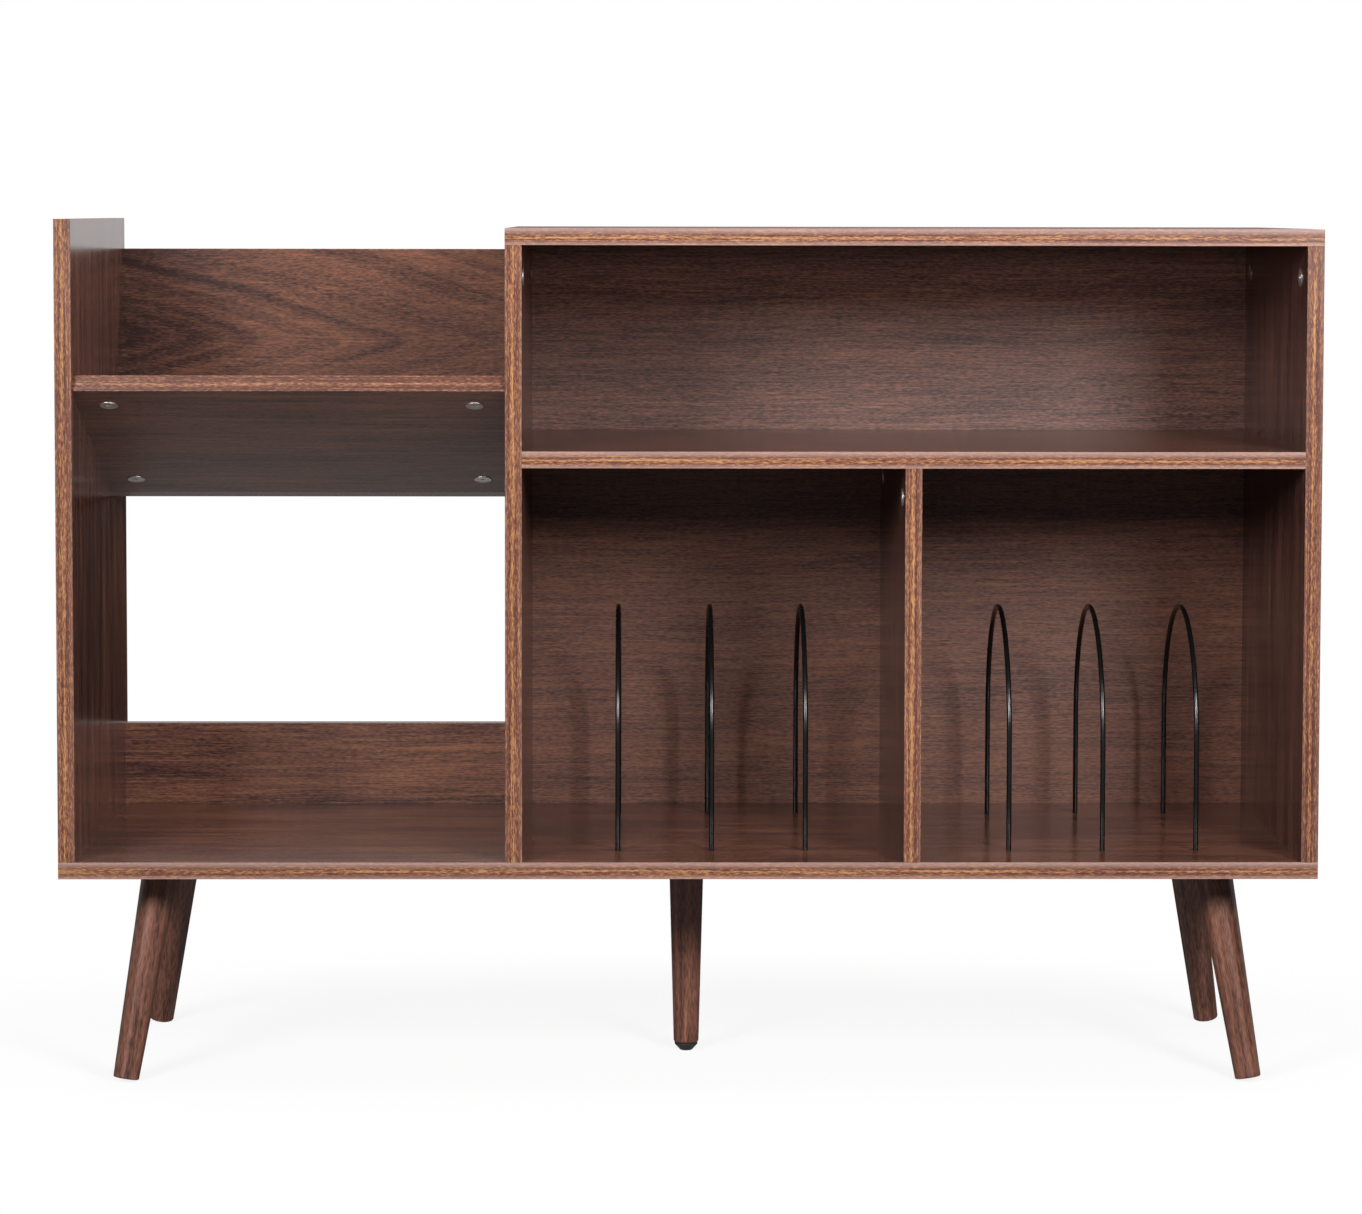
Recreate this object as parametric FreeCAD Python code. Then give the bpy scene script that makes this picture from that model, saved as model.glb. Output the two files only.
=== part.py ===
import FreeCAD
import Part
import math
import os

# Low flat-pack audio console in foil-faced board: a cabinet on the right with an equipment bay over two
# record bays, and a lower bay on the left that carries a sloping rack for record sleeves.
# Millimetres. X to the right, Y to the back, Z up, origin on the floor under the middle of the console.

Vector = FreeCAD.Vector
Placement = FreeCAD.Placement
Rotation = FreeCAD.Rotation

RIGHTWARD = Vector(1, 0, 0)
LEFTWARD = Vector(-1, 0, 0)
BACKWARD = Vector(0, 1, 0)
FORWARD = Vector(0, -1, 0)
UP = Vector(0, 0, 1)
DOWN = Vector(0, 0, -1)

# Carcass
WIDTH = 1200.0  # over both end boards
DEPTH = 400.0  # front edging to rear edges
BOARD = 16.0  # thickness of every board
LEG_HEIGHT = 206.0  # floor to the underside of the bottom board
RACK_BAY_WIDTH = 409.0  # clear, between left end board and partition
LOWER_BAY_HEIGHT = 376.0  # clear, takes record sleeves on edge
UPPER_BAY_HEIGHT = 195.0  # clear, takes a turntable or an amplifier
LEFT_END_HEIGHT = 611.0  # left end board above the bay floor
EDGING = 1.0  # plastic strip on the edges that show
EDGE_ROUND = 0.6  # along the outer corners of a strip

# Back sheet in its grooves
SHEET = 4.0
SHEET_INSET = 12.0  # rear edges of the boards to the sheet
GROOVE_DEPTH = 5.0  # less than the skin left behind holes in a face
GROOVE_PLAY = 0.15  # on each face of the sheet
SHEET_PLAY = 0.5  # sheet edge to groove floor
SHEET_GAP = 0.3  # shelf and bay divider to the sheet

# Sleeve rack: seat and backrest square to each other, tilted together
RACK_TILT = 22.5  # degrees
RACK_SETBACK = 10.0  # front plane to the seat's front edge
RACK_FRONT_HEIGHT = 463.5  # bay floor to the seat's front edge
SEAT_LENGTH = 300.0
BACKREST_HEIGHT = 250.0  # above the seat
RAIL_HEIGHT = 84.0  # low rail across the back of the rack bay
RAIL_SETBACK = 1.0  # rear plane to the rail, so its cams stay within the depth

# Wire record dividers
WIRE = 5.0  # diameter
WIRE_SPAN = 240.0  # between its two legs
WIRE_RISE = 228.0  # bay floor to the top of the bend
WIRE_SETBACK = 72.0  # front plane to the front leg
WIRES_PER_BAY = 3
SOCKET_PLAY = 0.15  # round a plugged wire

# Legs and their brackets
LEG_TOP = 35.0  # diameter
LEG_TIP = 25.0  # diameter
LEG_TILT = 12.5  # degrees, outwards on the diagonal
LEG_INSET = 88.0  # leg axis at the underside, from the ends, front and rear
TIP_ROUND = 1.8
FLANGE = 64.0  # side of the square bracket plate
FLANGE_THICKNESS = 3.0
FLANGE_CORNER = 8.0
BOSS = 38.0  # diameter of the seat under the plate
BOSS_RISE = 2.6  # lowest standing height of the boss under the plate
SCREW_PITCH = 48.0  # between bracket screws
SCREW = 4.0  # shank diameter
SCREW_HEAD = 8.0
SCREW_HEAD_HEIGHT = 2.5
SCREW_CROWN = 5.0  # flat on top of the head
HANGER_BOLT = 8.0
HANGER_DEPTH = 30.0  # bolt length in the leg
HANGER_RELIEF = 0.6  # bolt end to the board above it

# Levelling foot of the centre leg
PAD_HEIGHT = 8.0
PAD_TOP = 23.0  # diameter
PAD_RIM = 2.0  # upright band below the top
PAD_SOLE = 14.0  # diameter where the cone ends
PAD_CHAMFER = 1.0
FOOT_GAP = 0.3  # leg end to pad
STUD = 8.0
STUD_ROOT = 4.0  # stud length moulded into the pad
STUD_LENGTH = 28.0
INSERT = 12.0  # outer diameter of the threaded insert
INSERT_LENGTH = 18.0
STUD_ROOM = 9.0  # bore above the insert
STUD_RELIEF = 14.0  # bore left over the stud's end

# Cam locks, bolts, dowels and base screws
FACE_SKIN = 5.5  # board left behind a hole in its face
END_RELIEF = 0.5  # fitting end to hole floor
FIT_PLAY = 0.1  # on the radius, between a fitting and its hole
CAM = 15.0  # pocket diameter
CAM_SKIN = 3.4  # board left behind a cam pocket
CAM_SETBACK = 30.0  # seam to cam axis
CAM_RIM = 17.5
CAM_RIM_HEIGHT = 0.8
CAM_JAW = 7.2  # opening for the bolt head
CROSS_LENGTH = 8.0  # driver recess
CROSS_WIDTH = 1.5
CROSS_DEPTH = 1.4
BOLT_BORE = 8.0
BOLT_THREAD = 5.0
BOLT_SHANK = 6.0
BOLT_NECK = 4.0
BOLT_NECK_LENGTH = 7.0
BOLT_HEAD = 6.5
BOLT_HEAD_LENGTH = 4.0
DOWEL = 8.0
DOWEL_LENGTH = 30.0
DOWEL_CHAMFER = 0.8
BASE_HEAD = 10.0
BASE_HEAD_HEIGHT = 4.0
BASE_SHANK = 7.0
BASE_THREAD = 5.0
BASE_BITE = 34.0  # thread length in an upright

# Places of the fittings along their seams
CAM_FROM_FRONT = 40.0
CAM_FROM_REAR = 50.0
BASE_SCREW_INSET = 60.0
DOWEL_STEP = 70.0  # cam or base screw to the dowel beside it
RACK_CAM_INSET = 40.0
SEAT_DOWEL_INSET = 100.0
RAIL_CAM_DROP = 28.0  # rail top to its cams
RAIL_DOWEL_INSET = 80.0

OVERCUT = 1.0  # how far a cutting tool stands out of the face it enters

# Planes of the carcass
LEFT = -WIDTH / 2
RIGHT = WIDTH / 2
FRONT = -DEPTH / 2
REAR = DEPTH / 2
BAY_FLOOR = LEG_HEIGHT + BOARD
SHELF_BASE = BAY_FLOOR + LOWER_BAY_HEIGHT
SHELF_TOP = SHELF_BASE + BOARD
TOP_BASE = SHELF_TOP + UPPER_BAY_HEIGHT
TOP = TOP_BASE + BOARD
RACK_LEFT = LEFT + BOARD
RACK_RIGHT = RACK_LEFT + RACK_BAY_WIDTH
CABINET_LEFT = RACK_RIGHT + BOARD
CABINET_RIGHT = RIGHT - BOARD
DIVIDER_LEFT = (CABINET_LEFT + CABINET_RIGHT - BOARD) / 2
DIVIDER_RIGHT = DIVIDER_LEFT + BOARD
SHEET_REAR = REAR - SHEET_INSET
SHEET_FRONT = SHEET_REAR - SHEET
RAIL_REAR = REAR - RAIL_SETBACK
RAIL_FRONT = RAIL_REAR - BOARD
FACE_HOLE = BOARD - FACE_SKIN

# The rack's own frame: X along the bay, Y down the seat, Z up the backrest, origin on the seat's front edge
RACK_ORIGIN = Vector(0, FRONT + RACK_SETBACK, BAY_FLOOR + RACK_FRONT_HEIGHT)
RACK = Placement(RACK_ORIGIN, Rotation(RIGHTWARD, -RACK_TILT))
DOWN_SEAT = RACK.Rotation.multVec(BACKWARD)
UP_BACKREST = RACK.Rotation.multVec(UP)

solids = {}
cuts = {}


def block(low, high):
    """Box between two opposite corners."""
    size = high.sub(low)
    return Part.makeBox(size.x, size.y, size.z, low)


def rod(diameter, low, high):
    """Upright cylinder on the Z axis between two heights."""
    return Part.makeCylinder(diameter / 2, high - low, Vector(0, 0, low))


def outline_edges(points):
    """Straight edges through (radius, height) points."""
    corners = [Vector(radius, 0, height) for radius, height in points]
    return Part.makePolygon(corners).Edges


def turned(edges):
    """Solid swept round the Z axis by a closed outline."""
    return Part.Face(Part.Wire(edges)).revolve(Vector(), UP, 360)


def lathe(points):
    """Solid of revolution from (radius, height) points that start and end on the axis."""
    return turned(outline_edges(points + points[:1]))


def placed(shape, origin, along, facing):
    """Copy of a shape with its own Z laid along one direction and its own X facing another."""
    copy = shape.copy()
    copy.Placement = Placement(origin, Rotation(facing, along.cross(facing), along, "ZXY"))
    return copy


def add(node, shape):
    """Put a solid into a node."""
    solids.setdefault(node, []).append(shape)


def cut(node, tool):
    """Note a tool that is to be cut from a board."""
    cuts.setdefault(node, []).append(tool)


def edging_strip(low, high, outward):
    """Strip between two corners, with the long corners of its outer face rounded."""
    strip = block(low, high)
    middle = strip.CenterOfMass
    corners = []
    for edge in strip.Edges:
        is_outer = edge.CenterOfMass.sub(middle).dot(outward) > 0
        if is_outer and edge.Length > BOARD:
            corners.append(edge)
    return strip.makeFillet(min(EDGE_ROUND, EDGING - FIT_PLAY), corners)


def banded_board(name, edging_name, low, high, sides, place=Placement()):
    """Board between two corners: edging on the given sides, one after the other, and the core inside it."""
    core_low = Vector(low)
    core_high = Vector(high)
    for side in sides:
        strip_low = Vector(core_low)
        strip_high = Vector(core_high)
        for axis in range(3):
            if side[axis] > 0:
                core_high[axis] -= EDGING
                strip_low[axis] = core_high[axis]
            if side[axis] < 0:
                core_low[axis] += EDGING
                strip_high[axis] = core_low[axis]
        strip = edging_strip(strip_low, strip_high, side)
        strip.Placement = place
        add(edging_name, strip)
    core = block(core_low, core_high)
    core.Placement = place
    add(name, core)


def make_boards():
    """The carcass, the rack and the low rear rail."""
    banded_board("bottom_board", "bottom_board_edging", Vector(LEFT, FRONT, LEG_HEIGHT),
                 Vector(RIGHT, REAR, BAY_FLOOR), (FORWARD, LEFTWARD, RIGHTWARD))
    banded_board("left_end_board", "left_end_edging", Vector(LEFT, FRONT, BAY_FLOOR),
                 Vector(RACK_LEFT, REAR, BAY_FLOOR + LEFT_END_HEIGHT), (FORWARD, UP))
    banded_board("rack_partition", "partition_edging", Vector(RACK_RIGHT, FRONT, BAY_FLOOR),
                 Vector(CABINET_LEFT, REAR, TOP_BASE), (FORWARD,))
    banded_board("right_end_board", "right_end_edging", Vector(CABINET_RIGHT, FRONT, BAY_FLOOR),
                 Vector(RIGHT, REAR, TOP_BASE), (FORWARD,))
    banded_board("top_board", "top_board_edging", Vector(RACK_RIGHT, FRONT, TOP_BASE),
                 Vector(RIGHT, REAR, TOP), (FORWARD, LEFTWARD, RIGHTWARD))
    banded_board("middle_shelf", "shelf_edging", Vector(CABINET_LEFT, FRONT, SHELF_BASE),
                 Vector(CABINET_RIGHT, SHEET_FRONT - SHEET_GAP, SHELF_TOP), (FORWARD,))
    banded_board("lower_bay_divider", "bay_divider_edging", Vector(DIVIDER_LEFT, FRONT, BAY_FLOOR),
                 Vector(DIVIDER_RIGHT, SHEET_FRONT - SHEET_GAP, SHELF_BASE), (FORWARD,))
    banded_board("rear_rail", "rear_rail_edging", Vector(RACK_LEFT, RAIL_FRONT, BAY_FLOOR),
                 Vector(RACK_RIGHT, RAIL_REAR, BAY_FLOOR + RAIL_HEIGHT), (UP,))
    banded_board("rack_seat", "rack_seat_edging", Vector(RACK_LEFT, 0, -BOARD),
                 Vector(RACK_RIGHT, SEAT_LENGTH, 0), (FORWARD,), RACK)
    banded_board("rack_backrest", "rack_backrest_edging", Vector(RACK_LEFT, SEAT_LENGTH, -BOARD),
                 Vector(RACK_RIGHT, SEAT_LENGTH + BOARD, BACKREST_HEIGHT), (UP, DOWN), RACK)


def make_back_sheet():
    """Thin sheet behind the cabinet's bays and the groove that holds it in the four boards round it."""
    groove_low = Vector(CABINET_LEFT - GROOVE_DEPTH, SHEET_FRONT - GROOVE_PLAY, BAY_FLOOR - GROOVE_DEPTH)
    groove_high = Vector(CABINET_RIGHT + GROOVE_DEPTH, SHEET_REAR + GROOVE_PLAY, TOP_BASE + GROOVE_DEPTH)
    for board in ("top_board", "bottom_board", "rack_partition", "right_end_board"):
        cut(board, block(groove_low, groove_high))
    play = Vector(SHEET_PLAY, GROOVE_PLAY, SHEET_PLAY)
    add("back_sheet", block(groove_low.add(play), groove_high.sub(play)))


def cam_lock():
    """Rimmed cam, its own Z out of the board's face and its X towards the seam."""
    pocket_floor = CAM_SKIN - BOARD
    body = rod(CAM - 2 * FIT_PLAY, pocket_floor + END_RELIEF, 0)
    rim = rod(CAM_RIM, 0, CAM_RIM_HEIGHT)
    jaw = block(Vector(-CAM_JAW / 2, -CAM_JAW / 2, -BOARD / 2 - CAM_JAW / 2),
                Vector(CAM, CAM_JAW / 2, -BOARD / 2 + CAM_JAW / 2))
    slot = block(Vector(-CROSS_LENGTH / 2, -CROSS_WIDTH / 2, CAM_RIM_HEIGHT - CROSS_DEPTH),
                 Vector(CROSS_LENGTH / 2, CROSS_WIDTH / 2, CAM_RIM_HEIGHT + OVERCUT))
    cross_slot = placed(slot, Vector(), UP, BACKWARD)
    return body.fuse(rim).removeSplitter().cut([jaw, slot, cross_slot])


def cam_bolt():
    """Bolt screwed into the face board, its own Z from the seam into the end board."""
    head_end = CAM_SETBACK + BOLT_HEAD_LENGTH / 4
    head_start = head_end - BOLT_HEAD_LENGTH
    neck_start = head_start - BOLT_NECK_LENGTH
    thread_radius = BOLT_THREAD / 2 - FIT_PLAY
    thread_end = END_RELIEF - FACE_HOLE
    return lathe([(0, thread_end), (thread_radius, thread_end), (thread_radius, 0), (BOLT_SHANK / 2, 0),
                  (BOLT_SHANK / 2, neck_start), (BOLT_NECK / 2, neck_start), (BOLT_NECK / 2, head_start),
                  (BOLT_HEAD / 2, head_start), (BOLT_HEAD / 2, head_end), (0, head_end)])


def dowel():
    """Chamfered wooden pin, its own Z from the seam into the end board."""
    low = END_RELIEF - FACE_HOLE
    high = low + DOWEL_LENGTH
    radius = DOWEL / 2
    tip = radius - DOWEL_CHAMFER
    return lathe([(0, low), (tip, low), (radius, low + DOWEL_CHAMFER), (radius, high - DOWEL_CHAMFER),
                  (tip, high), (0, high)])


def fasten(end_board, face_board, seam, run, inward, facing, cam_spots, dowel_spots):
    """Join the end of one board to the face of another.

    seam is a point of the joint at the end board's mid-thickness and run the direction along the joint.
    inward points from the joint into the end board, and facing to the face of it that holds the cams.
    """
    for spot in cam_spots:
        origin = seam.add(Vector(run).multiply(spot))
        axis = Vector(inward).multiply(CAM_SETBACK)
        mouth = origin.add(axis).add(Vector(facing).multiply(BOARD / 2))
        toward_seam = Vector(inward).negative()
        cut(end_board, placed(rod(CAM, CAM_SKIN - BOARD, OVERCUT), mouth, facing, toward_seam))
        cut(end_board, placed(rod(BOLT_BORE, -OVERCUT, CAM_SETBACK), origin, inward, facing))
        cut(face_board, placed(rod(BOLT_THREAD, -FACE_HOLE, OVERCUT), origin, inward, facing))
        add("cam_locks", placed(cam_lock(), mouth, facing, toward_seam))
        add("cam_bolts", placed(cam_bolt(), origin, inward, facing))
    hole = DOWEL + 2 * FIT_PLAY
    dowel_end = DOWEL_LENGTH + END_RELIEF - FACE_HOLE
    for spot in dowel_spots:
        origin = seam.add(Vector(run).multiply(spot))
        cut(end_board, placed(rod(hole, -OVERCUT, dowel_end + END_RELIEF), origin, inward, facing))
        cut(face_board, placed(rod(hole, -FACE_HOLE, OVERCUT), origin, inward, facing))
        add("wood_dowels", placed(dowel(), origin, inward, facing))


def join_carcass():
    """Cam locks and dowels of the cabinet."""
    cams = (CAM_FROM_FRONT, DEPTH - CAM_FROM_REAR)
    dowels = (cams[0] + DOWEL_STEP, cams[1] - DOWEL_STEP)
    partition_middle = RACK_RIGHT + BOARD / 2
    right_middle = CABINET_RIGHT + BOARD / 2
    divider_middle = DIVIDER_LEFT + BOARD / 2
    shelf_middle = SHELF_BASE + BOARD / 2
    fasten("rack_partition", "top_board", Vector(partition_middle, FRONT, TOP_BASE),
           BACKWARD, DOWN, RIGHTWARD, cams, dowels)
    fasten("right_end_board", "top_board", Vector(right_middle, FRONT, TOP_BASE),
           BACKWARD, DOWN, LEFTWARD, cams, dowels)
    fasten("lower_bay_divider", "middle_shelf", Vector(divider_middle, FRONT, SHELF_BASE),
           BACKWARD, DOWN, LEFTWARD, cams, dowels)
    fasten("middle_shelf", "rack_partition", Vector(CABINET_LEFT, FRONT, shelf_middle),
           BACKWARD, RIGHTWARD, DOWN, cams, dowels)
    fasten("middle_shelf", "right_end_board", Vector(CABINET_RIGHT, FRONT, shelf_middle),
           BACKWARD, LEFTWARD, DOWN, cams, dowels)


def join_rack():
    """Cam locks and dowels of the sleeve rack and the rear rail."""
    under_seat = UP_BACKREST.negative()
    seat_cams = (RACK_CAM_INSET, SEAT_LENGTH - RACK_CAM_INSET)
    backrest_cams = (RACK_CAM_INSET, BACKREST_HEIGHT - RACK_CAM_INSET)
    rail_cams = (RAIL_HEIGHT - RAIL_CAM_DROP,)
    walls = (("left_end_board", RACK_LEFT, RIGHTWARD), ("rack_partition", RACK_RIGHT, LEFTWARD))
    for wall, end, inward in walls:
        seat_seam = RACK.multVec(Vector(end, 0, -BOARD / 2))
        backrest_seam = RACK.multVec(Vector(end, SEAT_LENGTH + BOARD / 2, 0))
        rail_seam = Vector(end, RAIL_REAR - BOARD / 2, BAY_FLOOR)
        fasten("rack_seat", wall, seat_seam,
               DOWN_SEAT, inward, under_seat, seat_cams, (SEAT_LENGTH / 2,))
        fasten("rack_backrest", wall, backrest_seam,
               UP_BACKREST, inward, DOWN_SEAT, backrest_cams, (BACKREST_HEIGHT / 2,))
        fasten("rear_rail", wall, rail_seam, UP, inward, BACKWARD, rail_cams, ())
    fasten("rack_seat", "rack_backrest", RACK.multVec(Vector(RACK_LEFT, SEAT_LENGTH, -BOARD / 2)),
           RIGHTWARD, DOWN_SEAT.negative(), under_seat,
           (), (SEAT_DOWEL_INSET, RACK_BAY_WIDTH - SEAT_DOWEL_INSET))
    fasten("rear_rail", "bottom_board", Vector(RACK_LEFT, RAIL_REAR - BOARD / 2, BAY_FLOOR),
           RIGHTWARD, UP, BACKWARD, (), (RAIL_DOWEL_INSET, RACK_BAY_WIDTH - RAIL_DOWEL_INSET))


def base_screw():
    """Long screw driven up through the bottom board, its own Z zero at the underside."""
    head = BASE_HEAD / 2
    shank = BASE_SHANK / 2
    thread = BASE_THREAD / 2 - FIT_PLAY
    point = BOARD + BASE_BITE
    return lathe([(0, 0), (head, 0), (head, BASE_HEAD_HEIGHT), (shank, BASE_HEAD_HEIGHT), (shank, BOARD),
                  (thread, BOARD), (thread, point), (0, point)])


def join_base():
    """Base screws and dowels between the bottom board and the uprights that stand on it."""
    screws = (BASE_SCREW_INSET, DEPTH - BASE_SCREW_INSET)
    dowels = (screws[0] + DOWEL_STEP, screws[1] - DOWEL_STEP)
    uprights = {"left_end_board": LEFT, "rack_partition": RACK_RIGHT, "lower_bay_divider": DIVIDER_LEFT,
                "right_end_board": CABINET_RIGHT}
    head_bore = rod(BASE_HEAD + 2 * FIT_PLAY, -OVERCUT, BASE_HEAD_HEIGHT)
    shank_bore = rod(BASE_SHANK + 2 * FIT_PLAY, -OVERCUT, BOARD + OVERCUT)
    pilot = rod(BASE_THREAD, BOARD - OVERCUT, BOARD + BASE_BITE + END_RELIEF)
    for upright, left_face in uprights.items():
        middle = left_face + BOARD / 2
        fasten(upright, "bottom_board", Vector(middle, FRONT, BAY_FLOOR), BACKWARD, UP, RIGHTWARD, (), dowels)
        for spot in screws:
            origin = Vector(middle, FRONT + spot, LEG_HEIGHT)
            cut("bottom_board", placed(head_bore, origin, UP, RIGHTWARD))
            cut("bottom_board", placed(shank_bore, origin, UP, RIGHTWARD))
            cut(upright, placed(pilot, origin, UP, RIGHTWARD))
            add("base_screws", placed(base_screw(), origin, UP, RIGHTWARD))


def wire_divider():
    """Wire bent to two straight legs with a round top, its own Z zero on the bay floor, its legs along Y."""
    reach = WIRE_SPAN / 2
    crown = WIRE_RISE - WIRE / 2
    front_foot = Vector(0, -reach, -FACE_HOLE)
    front_shoulder = Vector(0, -reach, crown - reach)
    rear_shoulder = Vector(0, reach, crown - reach)
    rear_foot = Vector(0, reach, -FACE_HOLE)
    path = Part.Wire([
        Part.makeLine(front_foot, front_shoulder),
        Part.Arc(front_shoulder, Vector(0, 0, crown), rear_shoulder).toShape(),
        Part.makeLine(rear_shoulder, rear_foot),
    ])
    section = Part.Wire(Part.makeCircle(WIRE / 2, front_foot, UP))
    return path.makePipeShell([section], True, False)


def make_wire_dividers():
    """Evenly spaced wires in both record bays, and their sockets in the bottom board."""
    middle = FRONT + WIRE_SETBACK + WIRE_SPAN / 2
    socket = rod(WIRE + 2 * SOCKET_PLAY, -FACE_HOLE, OVERCUT)
    number = 0
    for bay_left, bay_right in ((CABINET_LEFT, DIVIDER_LEFT), (DIVIDER_RIGHT, CABINET_RIGHT)):
        step = (bay_right - bay_left) / (WIRES_PER_BAY + 1)
        for place in range(1, WIRES_PER_BAY + 1):
            number += 1
            origin = Vector(bay_left + step * place, middle, BAY_FLOOR)
            add("wire_divider_%d" % number, placed(wire_divider(), origin, UP, RIGHTWARD))
            for side in (-1, 1):
                mouth = origin.add(Vector(0, side * WIRE_SPAN / 2, 0))
                cut("bottom_board", placed(socket, mouth, UP, RIGHTWARD))


def seat_drop(tilt):
    """Distance along a leg from the board's underside to the bracket's seat."""
    return (FLANGE_THICKNESS + BOSS_RISE + BOSS / 2 * math.sin(tilt)) / math.cos(tilt)


def leg_bolt_top(tilt):
    """Distance along a leg from the board's underside to the end of its hanger bolt."""
    return HANGER_BOLT / 2 * math.tan(tilt) + HANGER_RELIEF


def tapered_leg(tilt, length):
    """Round leg with a rounded tip and a bolt hole, its own Z up its axis from the board's underside."""
    top = -seat_drop(tilt)
    tip_radius = LEG_TIP / 2
    ring = tip_radius - TIP_ROUND
    diagonal = TIP_ROUND * math.sqrt(0.5)
    tip_start = Vector(ring, 0, -length)
    tip_middle = Vector(ring + diagonal, 0, TIP_ROUND - length - diagonal)
    tip_end = Vector(tip_radius, 0, TIP_ROUND - length)
    edges = outline_edges([(tip_radius, TIP_ROUND - length), (LEG_TOP / 2, top), (0, top), (0, -length),
                           (ring, -length)])
    edges.append(Part.Arc(tip_start, tip_middle, tip_end).toShape())
    bolt_hole = rod(HANGER_BOLT + 2 * FIT_PLAY, top - HANGER_DEPTH - END_RELIEF, top + OVERCUT)
    return turned(edges).cut(bolt_hole)


def leg_bracket(tilt, upward):
    """Square plate with a boss whose end is square to the leg, its own Z zero at the board's underside."""
    half = FLANGE / 2
    plate = block(Vector(-half, -half, -FLANGE_THICKNESS), Vector(half, half, 0))
    corners = [edge for edge in plate.Edges if abs(edge.tangentAt(edge.FirstParameter).z) > 0.5]
    plate = plate.makeFillet(FLANGE_CORNER, corners)
    boss_top = BOSS / 2 * math.tan(tilt)
    boss = placed(rod(BOSS, -seat_drop(tilt), boss_top), Vector(), upward, upward.cross(BACKWARD))
    above = block(Vector(-half, -half, 0), Vector(half, half, FLANGE))
    bore = placed(rod(HANGER_BOLT + 2 * FIT_PLAY, -FLANGE, FLANGE), Vector(), upward, upward.cross(BACKWARD))
    hole = rod(SCREW + 4 * FIT_PLAY, -FLANGE_THICKNESS - OVERCUT, OVERCUT)
    holes = [placed(hole, corner, UP, RIGHTWARD) for corner in screw_corners()]
    return plate.fuse(boss.cut(above)).removeSplitter().cut([bore] + holes)


def screw_corners():
    """Places of a bracket's screws about its middle."""
    half = SCREW_PITCH / 2
    return [Vector(side_x * half, side_y * half, 0) for side_x in (-1, 1) for side_y in (-1, 1)]


def bracket_screw():
    """Pan-head screw, its own Z zero under its head."""
    radius = SCREW / 2
    head = SCREW_HEAD / 2
    crown = -SCREW_HEAD_HEIGHT
    point = FLANGE_THICKNESS + FACE_HOLE - END_RELIEF
    return lathe([(0, crown), (SCREW_CROWN / 2, crown), (head, crown / 2), (head, 0), (radius, 0),
                  (radius, point - SCREW), (0, point)])


def mount_leg(name, x, y, tilt, upward, leg):
    """Hang one leg under the bottom board by its bracket, hanger bolt and screws."""
    origin = Vector(x, y, LEG_HEIGHT)
    across = upward.cross(BACKWARD)
    bolt = rod(HANGER_BOLT, -seat_drop(tilt) - HANGER_DEPTH, -leg_bolt_top(tilt))
    bracket = leg_bracket(tilt, upward)
    bracket.translate(origin)
    add(name, placed(leg, origin, upward, across))
    add(name + "_bracket", bracket)
    add("leg_hanger_bolts", placed(bolt, origin, upward, across))
    pilot = rod(SCREW + 2 * FIT_PLAY, -OVERCUT, FACE_HOLE)
    for corner in screw_corners():
        mouth = origin.add(corner)
        under_plate = mouth.sub(Vector(0, 0, FLANGE_THICKNESS))
        cut("bottom_board", placed(pilot, mouth, UP, RIGHTWARD))
        add("bracket_screws", placed(bracket_screw(), under_plate, UP, RIGHTWARD))


def make_corner_legs():
    """Four legs that splay out on the diagonals, their tip rims on the floor."""
    tilt = math.radians(LEG_TILT)
    spread = math.sin(tilt) * math.sqrt(0.5)
    ring = LEG_TIP / 2 - TIP_ROUND
    length = TIP_ROUND + (LEG_HEIGHT - ring * math.sin(tilt) - TIP_ROUND) / math.cos(tilt)
    for row, side_y in (("front", -1), ("rear", 1)):
        for end, side_x in (("left", -1), ("right", 1)):
            x = side_x * (RIGHT - LEG_INSET)
            y = side_y * (REAR - LEG_INSET)
            upward = Vector(-side_x * spread, -side_y * spread, math.cos(tilt))
            mount_leg("%s_%s_leg" % (row, end), x, y, tilt, upward, tapered_leg(tilt, length))


def make_centre_leg():
    """Upright leg in the middle with a levelling foot screwed into its end."""
    leg_end = PAD_HEIGHT + FOOT_GAP
    length = LEG_HEIGHT - leg_end
    stud_low = PAD_HEIGHT - STUD_ROOT
    stud_high = stud_low + STUD_LENGTH
    insert_top = leg_end + INSERT_LENGTH
    insert_hole = rod(INSERT + 2 * FIT_PLAY, -length - OVERCUT, INSERT_LENGTH - length)
    stud_hole = rod(STUD_ROOM, -length, stud_high + STUD_RELIEF - LEG_HEIGHT)
    mount_leg("centre_leg", 0, 0, 0, UP, tapered_leg(0, length).cut([insert_hole, stud_hole]))
    stud_bore = STUD / 2 + FIT_PLAY
    sole = PAD_SOLE / 2
    brim = PAD_TOP / 2
    pad = lathe([(0, 0), (sole - PAD_CHAMFER, 0), (sole, PAD_CHAMFER), (brim, PAD_HEIGHT - PAD_RIM),
                 (brim, PAD_HEIGHT), (stud_bore, PAD_HEIGHT), (stud_bore, stud_low), (0, stud_low)])
    add("leveller_pad", pad)
    add("leveller_stud", rod(STUD, stud_low, stud_high))
    add("leveller_insert", rod(INSERT, leg_end, insert_top).cut(rod(2 * stud_bore, 0, insert_top + OVERCUT)))


def write_nodes():
    """Cut every board once and write each node to its own file."""
    os.makedirs("parts", exist_ok=True)
    for node, shapes in solids.items():
        shape = shapes[0]
        if node in cuts:
            shape = shape.cut(cuts[node])
        if len(shapes) > 1:
            shape = Part.makeCompound(shapes)
        shape.exportStep("parts/%s.step" % node)


make_boards()
make_back_sheet()
join_carcass()
join_rack()
join_base()
make_wire_dividers()
make_corner_legs()
make_centre_leg()
write_nodes()
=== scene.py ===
import math

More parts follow.
